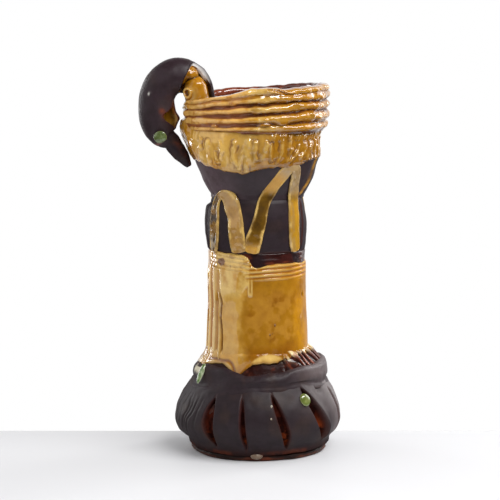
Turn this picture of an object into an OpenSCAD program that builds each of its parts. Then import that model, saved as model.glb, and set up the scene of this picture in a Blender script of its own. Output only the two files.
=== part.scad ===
// Puzzle jug, hand built from slabs, coils and rolled tubes. Millimetres, +Z up.
// The foot's underside is Z = 0, the photographed front looks along -Y, the spout stands at -X.
// Angles round the jug count from the front, positive to the right.

/* [Luting] */
// Thickness of the slip layer between two luted pieces
slip = 0.2; // [0.1:0.05:0.4]

/* [Foot] */
// Radius of the foot slab's bare rim
foot_r = 52.5; // [48:0.5:56]
// Thickness of the foot slab
slab_t = 7; // [5.5:0.5:10]
// Height of the bare rim below the mantle
bare_h = 3.4; // [2:0.2:4.4]

/* [Base] */
// Widest radius of the mantle
belly_r = 63.5; // [59:0.5:72]
// Height of the widest place
belly_z = 27; // [23:0.5:32]
// Radius of the mantle's upper edge
shoulder_r = 50.8; // [49.6:0.2:54]
// Height of the mantle's upper edge
shoulder_z = 60; // [54:0.5:70]
// Thickness of the mantle
mantle_t = 5; // [4:0.5:6]
// Thickness of the inner pot's wall
pot_t = 6; // [4:0.5:8]
// Number of slashes round the mantle
slash_count = 14; // [10:1:18]
// Mean width of a slash at its middle
slash_w = 6; // [3:0.5:8]
// Mean lean of the slashes from upright
slash_lean = 10; // [0:1:14]
// Radial half width of the shoulder coil
shoulder_coil_r = 4.8; // [4:0.2:5.2]
// Height of the shoulder coil at the left
shoulder_coil_h = 6.4; // [5:0.2:9]
// Extra height of the shoulder coil at the right
shoulder_coil_rise = 4.6; // [0:0.2:6]
// How far the shoulder coil draws in at the left
shoulder_draw = 2.6; // [0:0.2:3]

/* [Stem] */
// Radius of the bore through stem and throat
bore_r = 28.5; // [24:0.5:30]
// Thickness of the core tube
tube_t = 4.5; // [3.5:0.5:5]
// Thickness of the amber stem slab
wrap_t = 4.6; // [3:0.2:5]
// Height of the amber stem slab
stem_h = 86; // [60:1:110]
// Width of the seam where a rolled slab butts
seam_w = 1.4; // [0.8:0.2:2.4]
// Number of flutes round the skirt
skirt_flutes = 30; // [20:1:36]
// Height of the fluted skirt
skirt_h = 20; // [14:1:28]
// Depth of the skirt's flutes
skirt_flute = 0.9; // [0.3:0.1:1.2]
// Height of the dark red neck band
neck_h = 7.6; // [5:0.2:12]
// Height of the black collar
collar_h = 40; // [30:1:52]
// Swell of the collar over its ends
collar_swell = 2.4; // [1:0.2:4]

/* [Cup] */
// Height of the black funnel
funnel_h = 24; // [19:1:29]
// Radius of the funnel's upper edge
funnel_r = 47.2; // [45:0.2:48.4]
// Thickness of the funnel's upper edge
funnel_t = 4; // [3:0.2:5]
// Height of the amber fluted band
band_h = 25; // [20:0.2:31]
// Greatest radius of the fluted band
band_r = 53; // [51.6:0.2:55]
// Lap of the fluted band over the funnel at the front
band_lap = 5.2; // [3:0.2:7]
// Shift of the fluted band towards the spout
band_shift = 3; // [0:0.2:3.4]
// Number of flutes round the band
band_flutes = 40; // [24:1:48]
// Depth of the band's flutes
band_flute = 1.3; // [0.4:0.1:1.6]
// Outer radius of the bowl at its edge
bowl_r = 46.5; // [45.4:0.1:47]
// Thickness of the bowl
bowl_t = 4.5; // [3.5:0.1:5]
// Outer radius of the rim's coils
rim_r = 56.5; // [55:0.1:58]
// Inner radius of the rim's coils
rim_bore_r = 43; // [42.4:0.1:44]
// Height of one coil beside the spout
coil_low_h = 4.3; // [3.8:0.1:5]
// Height of one coil away from the spout
coil_high_h = 6.9; // [5.4:0.1:8]
// How much lower the rim lies at the back
rim_fall = 5.6; // [0:0.2:8]
// Swing of the coils' wavy joints
coil_wave = 0.7; // [0:0.1:1]

/* [Ornament] */
// Width of a zigzag strip
strip_w = 9.5; // [6:0.5:10]
// Thickness of a zigzag strip
strip_t = 2.2; // [1.4:0.2:3]
// Radius of a green pellet
pellet_r = 5; // [3.4:0.2:5.6]
// Height of a green pellet
pellet_h = 2.2; // [1.2:0.1:2.6]

/* [Spout] */
// Rise of the hood's arch over its seat
hood_rise = 22.4; // [20:0.2:25]
// Thickness of the hood's slab
hood_t = 2.4; // [1.8:0.1:2.8]
// Outer radius of the dip tube and the drinking tube
pipe_r = 4.2; // [3.4:0.1:4.4]
// Bore of the dip tube and the drinking tube
pipe_bore_r = 2.2; // [1.4:0.1:2.6]
// Outer radius of the vent's collar
vent_r = 3.6; // [2.8:0.1:4]
// Radius of the vent hole
vent_bore_r = 1.6; // [1:0.1:2]

/* [Hidden] */
$fn = 72;

// Heights, each from the piece below
mantle_z0 = bare_h + slip;
pot_z0 = slab_t + slip;
stem_z0 = shoulder_z + slip;
stem_top = stem_z0 + stem_h;
neck_z0 = stem_top + slip;
collar_z0 = neck_z0 + neck_h + slip;
collar_top = collar_z0 + collar_h;
joint_lap = 1;
tube_top = collar_top - joint_lap;
waist_gap = 3;
waist_z = collar_top + waist_gap;
funnel_top = waist_z + funnel_h;
bowl_top = funnel_top + band_h;
stack_z0 = bowl_top + slip;
coil_count = 5;
seat_z = stack_z0 + (coil_count - 1) * coil_low_h;

// Radii, each from the piece inside
tube_r = bore_r + tube_t;
stem_r = tube_r + slip + wrap_t;
mantle_foot_r = foot_r + 1;
shoulder_mid_r = shoulder_r - mantle_t / 2;
skirt_r = shoulder_mid_r - shoulder_coil_r - slip;
neck_inset = 1.6;
neck_r = stem_r - neck_inset;
collar_inset = 1.2;
collar_end_r = stem_r - collar_inset;
waist_t = 1.2;
waist_r = tube_r + slip + waist_t;
bowl_waist_r = funnel_r - funnel_t - slip;

// Angles of the spout and of the butt seams
spout_a = 270;
stem_seam_a = -44;
collar_seam_a = 63;
funnel_seam_a = 66;

function polar(r, a, z) = [r * sin(a), -r * cos(a), z];
function unit(v) = v / norm(v);

// Curve through control points of any size
function bend(p0, p1, p2, p3, u) = 0.5 * (2 * p1 + (p2 - p0) * u
    + (2 * p0 - 5 * p1 + 4 * p2 - p3) * u * u + (3 * p1 - p0 - 3 * p2 + p3) * u * u * u);
function through(pts, n) = concat(
    [for (i = [0:len(pts) - 2], k = [0:n - 1])
        bend(pts[max(i - 1, 0)], pts[i], pts[i + 1], pts[min(i + 2, len(pts) - 1)], k / n)],
    [pts[len(pts) - 1]]);

// Outer radius of the mantle: hollow above the foot, full at the belly, drawn in to the shoulder
function belly_low(z) = mantle_foot_r + (belly_r - mantle_foot_r)
    * (1 - cos(180 * pow(max(z - mantle_z0, 0) / (belly_z - mantle_z0), 0.85))) / 2;
function belly_high(z) = shoulder_r + (belly_r - shoulder_r)
    * pow(max(cos(90 * min(z - belly_z, shoulder_z - belly_z) / (shoulder_z - belly_z)), 0), 1.1);
function belly(z) = z < belly_z ? belly_low(z) : belly_high(z);

// Outer radii of collar, funnel and bowl by height
function collar(z) = collar_end_r
    + collar_swell * sin(180 * min(1, max(0, (z - collar_z0) / collar_h)));
function rise(z) = pow(min(1, max(0, (z - waist_z) / funnel_h)), 0.85);
function funnel(z) = waist_r + (funnel_r - waist_r) * rise(z);
function bowl(z) = z < funnel_top
    ? tube_r + (bowl_waist_r - tube_r) * rise(z)
    : bowl_waist_r + (bowl_r - bowl_waist_r) * sin(90 * (z - funnel_top) / band_h);

// One closed skin over loops of points; every loop has the same even number of points
function side_faces(n, m, shut, at = 0) = [for (i = [0:n - (shut ? 1 : 2)], j = [0:m - 1], k = [0:1])
    let (a = at + i * m + j, b = at + i * m + (j + 1) % m)
    let (c = at + ((i + 1) % n) * m + (j + 1) % m, d = at + ((i + 1) % n) * m + j)
    k == 0 ? [a, c, b] : [a, d, c]];
function cap_faces(m, at) = [for (j = [0:m / 2 - 2], k = [0:1])
    k == 0 ? [at + j, at + j + 1, at + m - 2 - j] : [at + j, at + m - 2 - j, at + m - 1 - j]];
function turned(faces) = [for (f = faces) [f[0], f[2], f[1]]];

module skin(loops, shut = false) {
    n = len(loops);
    m = len(loops[0]);
    pts = [for (l = loops, p = l) p];
    caps = shut ? [] : concat(cap_faces(m, 0), turned(cap_faces(m, (n - 1) * m)));
    polyhedron(pts, concat(side_faces(n, m, shut), caps));
}

// A pipe: outer and inner loops with ring-shaped ends
module pipe(outer, inner) {
    n = len(outer);
    m = len(outer[0]);
    pts = concat([for (l = outer, p = l) p], [for (l = inner, p = l) p]);
    first = [for (j = [0:m - 1], k = [0:1])
        let (j2 = (j + 1) % m, q = n * m)
        k == 0 ? [j, j2, q + j2] : [j, q + j2, q + j]];
    last = [for (f = first) [f[0] + (n - 1) * m, f[2] + (n - 1) * m, f[1] + (n - 1) * m]];
    polyhedron(pts, concat(side_faces(n, m, false), turned(side_faces(n, m, false, n * m)),
        first, last));
}

// Solid of revolution from radius and height pairs
module revolve_profile(pts) {
    rotate_extrude() polygon(pts);
}

// Opening cut through a rolled slab where its edges butt
module seam(a, z0, z1, r) {
    rotate([0, 0, a])
        translate([-seam_w / 2, -r - 10, z0 - 1])
            cube([seam_w, r + 10 - bore_r / 2, z1 - z0 + 2]);
}

module foot_slab() {
    ledge_r = mantle_foot_r - mantle_t - slip;
    edge = min(1.2, bare_h / 2);
    color([0.45, 0.22, 0.12])
        revolve_profile([[0, 0], [foot_r - edge, 0], [foot_r, edge], [foot_r, bare_h],
            [ledge_r, bare_h], [ledge_r, slab_t], [0, slab_t]]);
}

module base_pot() {
    steps = 16;
    skin_r = mantle_t + slip;
    mouth_z = shoulder_z - pot_t;
    roof_z = mouth_z - pot_t / 2;
    outer = [for (i = [0:steps]) let (z = pot_z0 + (shoulder_z - pot_z0) * i / steps)
        [belly(z) - skin_r, z]];
    inner = [for (i = [0:steps]) let (z = roof_z + (pot_z0 - roof_z) * i / steps)
        [belly(z) - skin_r - pot_t, z]];
    color([0.5, 0.25, 0.13])
        revolve_profile(concat(outer, [[bore_r, shoulder_z], [bore_r, mouth_z]], inner));
}

module lens_outline(length, width) {
    arc_r = (length * length + width * width) / (4 * width);
    intersection() {
        translate([arc_r - width / 2, 0]) circle(arc_r, $fn = 180);
        translate([width / 2 - arc_r, 0]) circle(arc_r, $fn = 180);
    }
}

// Each slash has a width and a lean of its own, as if cut by hand
slash_first_a = -36;
function slash_lean_of(i) = slash_lean * (1 + 1.1 * sin(60 * i - 75));
function slash_w_of(i) = slash_w * (1 + 0.45 * sin(140 * i + 90));

module base_mantle() {
    steps = 18;
    top_edge = 1.2;
    slash_z0 = mantle_z0 + 9;
    slash_z1 = shoulder_z - 7;
    outer = [for (i = [0:steps]) let (z = mantle_z0 + (shoulder_z - top_edge - mantle_z0) * i / steps)
        [belly(z), z]];
    inner = [for (i = [0:steps]) let (z = shoulder_z + (mantle_z0 - shoulder_z) * i / steps)
        [belly(z) - mantle_t, z]];
    color([0.11, 0.08, 0.08])
        difference() {
            revolve_profile(concat(outer, [[shoulder_r - top_edge, shoulder_z]], inner));
            for (i = [0:slash_count - 1])
                rotate([0, 0, slash_first_a + 360 * i / slash_count])
                    translate([0, -shoulder_r * 0.7, (slash_z0 + slash_z1) / 2])
                        rotate([90, 0, 0])
                            linear_extrude(belly_r)
                                rotate(slash_lean_of(i)) lens_outline(slash_z1 - slash_z0, slash_w_of(i));
        }
}

// Rounded section of a laid coil between radii and heights
function coil_section(r0, r1, z0, z1) = let (w = r1 - r0, h = z1 - z0)
    [[r0 + 0.1 * w, z0], [r1 - 0.22 * w, z0], [r1 - 0.05 * w, z0 + 0.24 * h], [r1, z0 + 0.5 * h],
    [r1 - 0.05 * w, z0 + 0.76 * h], [r1 - 0.22 * w, z1], [r0 + 0.1 * w, z1], [r0 + 0.02 * w, z1 - 0.2 * h],
    [r0, z0 + 0.5 * h], [r0 + 0.02 * w, z0 + 0.2 * h]];
function ring_loop(section, a) = [for (p = section) polar(p[0], a, p[1])];

// Outer radius and height of the shoulder coil, with its finger-pressed waves
function shoulder_face(a) = shoulder_mid_r + shoulder_coil_r + 0.4 * sin(7 * a)
    - shoulder_draw * pow((1 - sin(a)) / 2, 2);
function shoulder_tall(a) = shoulder_coil_h + shoulder_coil_rise * pow((1 + sin(a)) / 2, 2)
    + 0.5 * sin(5 * a);

module shoulder_coil() {
    n = 48;
    r0 = shoulder_mid_r - shoulder_coil_r;
    z0 = shoulder_z + slip;
    loops = [for (i = [0:n - 1]) let (a = 360 * i / n)
        ring_loop(coil_section(r0, shoulder_face(a), z0, z0 + shoulder_tall(a)), a)];
    color([0.12, 0.09, 0.09]) skin(loops, true);
}

module core_tube() {
    color([0.5, 0.25, 0.13])
        translate([0, 0, stem_z0])
            difference() {
                cylinder(tube_top - stem_z0, r = tube_r);
                translate([0, 0, -1]) cylinder(tube_top - stem_z0 + 2, r = bore_r);
            }
}

module stem_wrap() {
    edge = 1.4;
    color([0.72, 0.46, 0.14])
        difference() {
            revolve_profile([[tube_r + slip, stem_z0], [stem_r, stem_z0], [stem_r, stem_top - 2 * edge],
                [stem_r - 0.3 * edge, stem_top - 0.6 * edge], [stem_r - edge, stem_top],
                [tube_r + slip, stem_top]]);
            seam(stem_seam_a, stem_z0, stem_top, stem_r);
        }
}

module stem_skirt() {
    n = skirt_flutes * 4;
    m = 3;
    top_t = 0.8;
    r0 = stem_r + slip;
    loops = [for (i = [0:n - 1]) let (a = 360 * i / n, bite = skirt_flute * (1 - cos(360 * i / 4)) / 2)
        concat([for (k = [0:m]) let (u = k / m, swell = (skirt_r - r0 - top_t) * pow(1 - u, 1.6))
            polar(r0 + top_t + swell - bite * min(1, swell / 3 + 0.4), a, stem_z0 + skirt_h * u)],
            [for (k = [0:m]) polar(r0, a, stem_z0 + skirt_h * (1 - k / m))])];
    color([0.6, 0.35, 0.15]) skin(loops, true);
}

module neck_ring() {
    z1 = neck_z0 + neck_h;
    color([0.33, 0.1, 0.07])
        revolve_profile([[tube_r + slip, neck_z0], [neck_r - 0.8, neck_z0],
            [neck_r, neck_z0 + 0.25 * neck_h], [neck_r, neck_z0 + 0.75 * neck_h],
            [neck_r - 0.8, z1], [tube_r + slip, z1]]);
}

module collar_wrap() {
    steps = 16;
    outer = [for (i = [0:steps]) let (z = collar_z0 + collar_h * i / steps) [collar(z), z]];
    color([0.11, 0.08, 0.08])
        difference() {
            revolve_profile(concat(outer, [[tube_r + slip, collar_top], [tube_r + slip, collar_z0]]));
            seam(collar_seam_a, collar_z0, collar_top, stem_r + collar_swell);
        }
}

module cup_bowl() {
    steps = 10;
    z0 = tube_top + slip;
    low = [for (i = [1:steps]) let (z = waist_z + funnel_h * i / steps) [bowl(z), z]];
    high = [for (i = [1:steps]) let (z = funnel_top + band_h * i / steps) [bowl(z), z]];
    wall = concat([[tube_r, z0], [tube_r, waist_z]], low, high);
    n = len(wall);
    color([0.4, 0.2, 0.11])
        revolve_profile(concat(wall, [for (i = [1:n]) wall[n - i] - [i < n - 1 ? bowl_t : tube_t, 0]]));
}

module funnel_wrap() {
    steps = 12;
    z = [for (i = [0:steps]) waist_z + funnel_h * i / steps];
    color([0.11, 0.08, 0.08])
        difference() {
            revolve_profile(concat([for (i = [0:steps]) [funnel(z[i]), z[i]]],
                [for (i = [0:steps]) [bowl(z[steps - i]) + slip, z[steps - i]]]));
            seam(funnel_seam_a, waist_z, funnel_top, funnel_r);
        }
}

// Outer radius of the fluted band by share of its height
band_curve = through([[funnel_r + 1.2, 0], [band_r - 2.6, 0.3], [band_r - 0.3, 0.65], [band_r, 0.85],
    [band_r - 1.2, 1]], 1);

// How far the band hangs over the funnel, most at the front
least_lap = 1.2;
function lap_at(a) = least_lap + (band_lap - least_lap) * pow((1 + cos(a)) / 2, 2) + 0.4 * sin(11 * a);

module fluted_band() {
    n = 3 * band_flutes;
    step_z = funnel_top + slip;
    inner_z = [bowl_top, funnel_top + 0.7 * band_h, funnel_top + 0.4 * band_h, step_z];
    loops = [for (i = [0:n - 1]) let (a = 360 * i / n, z0 = funnel_top - lap_at(a))
        let (bite = band_flute * (i % 3) / 2, lean = -band_shift * sin(a))
        concat([for (k = [0:len(band_curve) - 1]) let (c = band_curve[k], u = c[1])
                polar(c[0] - bite * sin(min(90, 300 * u) * (1 - 0.2 * u)) + lean * min(1, 1.4 * u), a,
                    z0 + (bowl_top - z0) * u)],
            [for (z = inner_z) polar(bowl(z) + slip, a, z)],
            [polar(funnel(funnel_top) + slip, a, step_z), polar(funnel(z0 + 0.6) + slip + 0.1, a, z0 + 0.3),
                polar(funnel(z0) + slip + 0.3, a, z0)])];
    color([0.76, 0.5, 0.16]) skin(loops, true);
}

// Height of the joint under coil i of the rim, lower beside the spout
function dip(a) = pow((1 + cos(a - spout_a)) / 2, 3);
function fall(a) = rim_fall / coil_count * pow((1 - cos(a)) / 2, 4) * (1 - dip(a));
function coil_joint(i, a) = stack_z0 + i * (coil_high_h + (coil_low_h - coil_high_h) * dip(a) - fall(a))
    + (i == 0 ? 0 : coil_wave * (1 - pow(dip(a), 1.3)) * sin(4 * a + 70 * i) * 0.6
        + coil_wave * (1 - pow(dip(a), 1.3)) * sin(9 * a - 50 * i) * 0.4);

module rim_coil(i) {
    n = 40;
    loops = [for (k = [0:n - 1]) let (a = spout_a + 360 * k / n)
        let (z0 = coil_joint(i, a) + (i == 0 ? 0 : slip), z1 = coil_joint(i + 1, a))
        ring_loop(coil_section(rim_bore_r, rim_r - (i == 0 ? 1.2 : 0), z0, z1), a)];
    color([0.74, 0.48, 0.16]) skin(loops, true);
}

module rim_coil_1() {
    rim_coil(0);
}

module rim_coil_2() {
    rim_coil(1);
}

module rim_coil_3() {
    rim_coil(2);
}

module rim_coil_4() {
    rim_coil(3);
}

module rim_lip() {
    n = 40;
    open_a = asin((hood_half + 3 * slip) / rim_bore_r);
    loops = [for (k = [0:n]) let (a = spout_a + open_a + (360 - 2 * open_a) * k / n)
        ring_loop(coil_section(rim_bore_r, rim_r, coil_joint(4, a) + slip, coil_joint(5, a)), a)];
    color([0.8, 0.55, 0.2]) skin(loops);
}

// Bed of the zigzag strips: collar and funnel with the waist bridged over
bed_curve = through([[collar_z0 - 6, collar_end_r + 0.3], [collar_z0, collar_end_r + 0.3],
    [collar_z0 + 0.3 * collar_h, collar(collar_z0 + 0.3 * collar_h) + 0.2],
    [collar_z0 + 0.7 * collar_h, collar(collar_z0 + 0.7 * collar_h) + 0.2],
    [collar_top - 2, collar(collar_top - 2) + 0.5], [waist_z + 1, collar_end_r + 0.9],
    [waist_z + 0.28 * funnel_h, funnel(waist_z + 0.28 * funnel_h) + 0.6],
    [waist_z + 0.6 * funnel_h, funnel(waist_z + 0.6 * funnel_h) + 0.3],
    [funnel_top, funnel(funnel_top) + 0.3]], 4);
function bed(z) = lookup(z, bed_curve);
function on_bed(a, z) = polar(bed(z), a, z);

strip_low = collar_z0 + 0.1 * strip_w;
strip_high = funnel_top - band_lap - 0.35 * strip_w;
strip_mid = waist_z + 0.12 * funnel_h;
// Each strip of the zigzag: angle and height of its start, angle and height of its end
strip_ends = [[-61.4, strip_low, -55.3, strip_mid], [-38.7, strip_mid, -23.6, strip_low],
    [-6.4, strip_low, 30.6, strip_high], [45.4, strip_high, 49.4, strip_low],
    [114, strip_low, 121.5, strip_mid], [138.5, strip_mid, 146, strip_low],
    [163, strip_low, 172, strip_high], [188, strip_high, 197, strip_low],
    [214, strip_low, 221.5, strip_mid], [238.5, strip_mid, 246, strip_low]];

// A strip's rounded section as shares of half its width and of its thickness
strip_outline = [[-0.8, 0], [0.8, 0], [1, 0.25], [0.92, 0.7], [0.5, 1], [-0.5, 1], [-0.92, 0.7],
    [-1, 0.25]];

module zigzag_strip(i) {
    n = 8;
    ends = strip_ends[i];
    turn_a = ends[2] - ends[0];
    climb = ends[3] - ends[1];
    loops = [for (k = [0:n])
        let (u = k / n, a = ends[0] + turn_a * u, z = ends[1] + climb * u)
        let (at = on_bed(a, z), along = unit(on_bed(a + turn_a * 0.02, z + climb * 0.02)
            - on_bed(a - turn_a * 0.02, z - climb * 0.02)))
        let (out0 = polar(1, a, 0), out = unit(out0 - along * (out0 * along)), wide = cross(out, along))
        let (w = strip_w / 2, t = strip_t)
        [for (p = strip_outline) at + wide * p[0] * w + out * (p[1] * t + slip)]];
    color([0.78, 0.52, 0.17]) skin(loops);
}

module zigzag_strip_01() {
    zigzag_strip(0);
}

module zigzag_strip_02() {
    zigzag_strip(1);
}

module zigzag_strip_03() {
    zigzag_strip(2);
}

module zigzag_strip_04() {
    zigzag_strip(3);
}

module zigzag_strip_05() {
    zigzag_strip(4);
}

module zigzag_strip_06() {
    zigzag_strip(5);
}

module zigzag_strip_07() {
    zigzag_strip(6);
}

module zigzag_strip_08() {
    zigzag_strip(7);
}

module zigzag_strip_09() {
    zigzag_strip(8);
}

module zigzag_strip_10() {
    zigzag_strip(9);
}

// The swan neck's middle line, from its root on the rim over to the left and down.
// Each place: across from the rim's middle, up from the seat, radius in the arch's plane,
// half width across it, front edge and back edge of the slab as angles from the arch's outside
rim_mid_r = (rim_r + rim_bore_r) / 2;
drawn_rise = 22.4;
hood_scale = hood_rise / drawn_rise;
hood_root = 2 * slip;
function sized(p) = [p[0] * hood_scale, p[1] * hood_scale, p[2] * hood_scale, p[3] * hood_scale, p[4], p[5]];
hood_places = [for (p = through([
    [7, 0, 11.5, 11, -15, 160],
    [6.4, 6.8, 10.9, 11, -15, 160],
    [4.2, 13.6, 12, 11.4, -18, 162],
    [-1.6, 19.3, 13.4, 12, -45, 164],
    [-10.6, 22.4, 14.4, 12.6, -130, 166],
    [-19.9, 17.4, 13.8, 13, -155, 166],
    [-25.7, 7.1, 13.9, 13.2, -158, 164],
    [-26.1, -5.4, 14.4, 13.2, -156, 164],
    [-24.6, -15.4, 13.7, 12.2, -162, 168],
    [-21.2, -24.6, 10.8, 10, -170, 174]], 3)) sized(p)];
hood_half = hood_places[0][3];
function in_arch(across, up) = [-rim_mid_r + across, 0, seat_z + hood_root + up];
function way(pts, i) = unit(pts[min(i + 1, len(pts) - 1)] - pts[max(i - 1, 0)]);
function outward(t) = [t[2], 0, -t[0]];
hood_line = [for (p = hood_places) in_arch(p[0], p[1])];

module spout_hood() {
    m = 12;
    last = len(hood_places) - 1;
    loops = [for (i = [0:last])
        let (p = hood_places[i], t = i == 0 ? [0, 0, 1] : way(hood_line, i), n = outward(t))
        let (f = [for (k = [0:m - 1]) p[4] + (p[5] - p[4]) * k / (m - 1)])
        concat([for (k = [0:m - 1]) hood_line[i] + n * p[2] * cos(f[k]) + [0, p[3] * sin(f[k]), 0]],
            [for (k = [0:m - 1]) let (g = f[m - 1 - k])
                hood_line[i] + n * (p[2] - hood_t) * cos(g) + [0, (p[3] - hood_t) * sin(g), 0]])];
    color([0.12, 0.09, 0.09]) skin(loops);
}

// Round loops along a line in the arch's plane
function tube_loops(line, wide, deep, sides) = [for (i = [0:len(line) - 1])
    let (t = way(line, i), n = outward(t))
    [for (k = [0:sides - 1]) let (f = 360 * k / sides)
        line[i] + n * wide[i] * cos(f) + [0, deep[i] * sin(f), 0]]];

// Beak: across from the rim's middle, up from the seat, half thickness, half width
beak_places = through([
    [-23.9, -16.2, 5.6, 5.2], [-21.2, -24.8, 7.8, 7], [-17.2, -28.6, 7, 6.4], [-12.9, -31.4, 6, 5.4],
    [-9, -37.6, 5.2, 4.6], [-4.6, -44, 3.3, 3], [-3, -47.4, 2.6, 2.4]], 2);

module beak() {
    sides = 12;
    line = [for (p = beak_places) in_arch(p[0] * hood_scale, p[1] * hood_scale)];
    wide = [for (p = beak_places) p[2] * hood_scale];
    deep = [for (p = beak_places) p[3] * hood_scale];
    n = len(line);
    hole = [for (i = [0:n - 1]) min(1.4, pipe_bore_r * 0.7)];
    color([0.13, 0.1, 0.1]) pipe(tube_loops(line, wide, deep, sides), tube_loops(line, hole, hole, sides));
}

// The drink's way: up the bore, along the bowl, then through the hood
pipe_gap = pipe_r + 2 * slip;
joint_z = stack_z0 + 3 * coil_low_h - 1;
function bowl_bore(z) = bowl(z) - bowl_t;
function beside_bowl(z) = bowl_bore(z) - pipe_gap * (z < funnel_top ? 1.22 : 1.1);
dip_r = bore_r - pipe_gap - 0.6;
floor_gap = 3;
dip_line = [for (p = through([[dip_r, slab_t + floor_gap], [dip_r, tube_top - 6], [dip_r, waist_z - 1],
    [beside_bowl(waist_z + 0.3 * funnel_h), waist_z + 0.3 * funnel_h],
    [beside_bowl(waist_z + 0.7 * funnel_h), waist_z + 0.7 * funnel_h],
    [beside_bowl(funnel_top + 0.2 * band_h), funnel_top + 0.2 * band_h],
    [beside_bowl(funnel_top + 0.6 * band_h), funnel_top + 0.6 * band_h],
    [beside_bowl(bowl_top), bowl_top], [rim_bore_r - pipe_gap - 0.1, joint_z - 4],
    [rim_bore_r - pipe_gap - 0.1, joint_z]], 2)) [-p[0], 0, p[1]]];
drink_line = through(concat([[-rim_bore_r + pipe_gap + 0.1, 0, joint_z + slip],
    [-rim_bore_r + pipe_gap + 0.1, 0, seat_z + 0.6]],
    [for (p = [[9.2, 6.8], [5.4, 13], [-1.2, 18.9], [-10.4, 21.8], [-19.6, 17], [-25.5, 7.1], [-25.9, -5.4],
        [-24.5, -14.2 - slip]]) in_arch(p[0] * hood_scale, p[1] * hood_scale)]), 2);

module plain_pipe(line) {
    sides = 10;
    outer = [for (p = line) pipe_r];
    inner = [for (p = line) pipe_bore_r];
    pipe(tube_loops(line, outer, outer, sides), tube_loops(line, inner, inner, sides));
}

module drinking_tube() {
    color([0.74, 0.48, 0.16]) plain_pipe(drink_line);
}

module dip_tube() {
    color([0.5, 0.25, 0.13]) plain_pipe(dip_line);
}

// The vent stands square on the drinking tube and looks to the front left
module vent_ring() {
    length = 6;
    i = 5;
    turn_a = 40;
    out = -outward(way(drink_line, i)) * cos(turn_a) + [0, -sin(turn_a), 0];
    color([0.7, 0.45, 0.15])
        translate(drink_line[i] + out * (pipe_r + slip)) rotate([0, acos(out[2]), atan2(out[1], out[0])])
            difference() {
                cylinder(length, r = vent_r);
                translate([0, 0, -1]) cylinder(length + 2, r = vent_bore_r);
            }
}

// A drop of glaze that stands on a face; its own +Z is the face's outward way
module pellet(size) {
    ball_r = (size * size + pellet_h * pellet_h) / (2 * pellet_h);
    difference() {
        translate([0, 0, pellet_h - ball_r]) sphere(ball_r);
        translate([0, 0, -2 * ball_r]) cube(4 * ball_r, center = true);
    }
}

// A pellet pressed on the mantle at an angle and a height
module mantle_pellet(a, z, size) {
    tilt = atan(belly(z - 0.5) - belly(z + 0.5));
    translate(polar(belly(z), a, z)) rotate([0, 0, a]) rotate([90 - tilt, 0, 0])
        translate([0, 0, slip]) pellet(size);
}

module green_pellets() {
    hood_i = len(hood_places) - 4;
    color([0.25, 0.45, 0.22]) {
        mantle_pellet(37.8, shoulder_z - 0.25 * (shoulder_z - mantle_z0), pellet_r);
        mantle_pellet(-68, shoulder_z - pellet_r, 0.8 * pellet_r);
        translate(hood_line[hood_i] - [0, hood_places[hood_i][3] + slip, 0]) rotate([90, 0, 0])
            pellet(pellet_r);
    }
}

foot_slab();
base_pot();
base_mantle();
shoulder_coil();
core_tube();
stem_wrap();
stem_skirt();
neck_ring();
collar_wrap();
cup_bowl();
funnel_wrap();
fluted_band();
rim_coil_1();
rim_coil_2();
rim_coil_3();
rim_coil_4();
rim_lip();
zigzag_strip_01();
zigzag_strip_02();
zigzag_strip_03();
zigzag_strip_04();
zigzag_strip_05();
zigzag_strip_06();
zigzag_strip_07();
zigzag_strip_08();
zigzag_strip_09();
zigzag_strip_10();
spout_hood();
beak();
drinking_tube();
vent_ring();
dip_tube();
green_pellets();
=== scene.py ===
"""Puzzle jug: hand-built slipware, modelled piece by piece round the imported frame."""
import math

import bpy
import numpy as np
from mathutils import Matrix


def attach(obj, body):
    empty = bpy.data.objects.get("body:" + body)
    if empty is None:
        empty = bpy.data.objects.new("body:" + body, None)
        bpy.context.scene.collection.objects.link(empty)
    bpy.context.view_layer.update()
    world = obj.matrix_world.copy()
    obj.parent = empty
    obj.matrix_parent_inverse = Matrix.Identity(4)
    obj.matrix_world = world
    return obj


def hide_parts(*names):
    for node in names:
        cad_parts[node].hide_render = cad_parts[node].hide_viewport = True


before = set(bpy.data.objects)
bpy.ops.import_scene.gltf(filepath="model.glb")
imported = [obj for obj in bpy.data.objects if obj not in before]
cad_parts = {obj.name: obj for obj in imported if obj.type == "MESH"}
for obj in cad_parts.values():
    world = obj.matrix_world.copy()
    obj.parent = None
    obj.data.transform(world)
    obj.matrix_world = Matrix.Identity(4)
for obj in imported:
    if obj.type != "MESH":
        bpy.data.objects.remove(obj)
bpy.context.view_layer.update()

# Lengths below are millimetres; angles are degrees round the jug from the front, positive to the right
MM = 0.001

# Heights and radii of the part
WIDEST_Z = 27
MANTLE_TOP = 59.4
STEM_LOW = 60.4
STEM_R = 37.6
NECK_LOW = 143.6
NECK_H = 11.2
NECK_R = 36.4
COLLAR_Z0 = 154.2
COLLAR_H = 40
COLLAR_END = 197.6
WAIST_Z = 197.2
FUNNEL_H = 24
FUNNEL_TOP = 221.2
FUNNEL_LOW = 194.6
FUNNEL_END = 224.6
BAND_TOP = 247.6
BOWL_LOW = 193.4
BOWL_TOP = 246.2
SEAT_Z = 263.6
RIM_MID_R = 49.75
RIM_R = 56
# Radius of the hidden inner wall of the slabs round the core tube
BORE_R = 33.4
# Directions: the depth axis and the way up
DEPTH = np.array([0, 1, 0])
UP = np.array([0, 0, 1])

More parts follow.
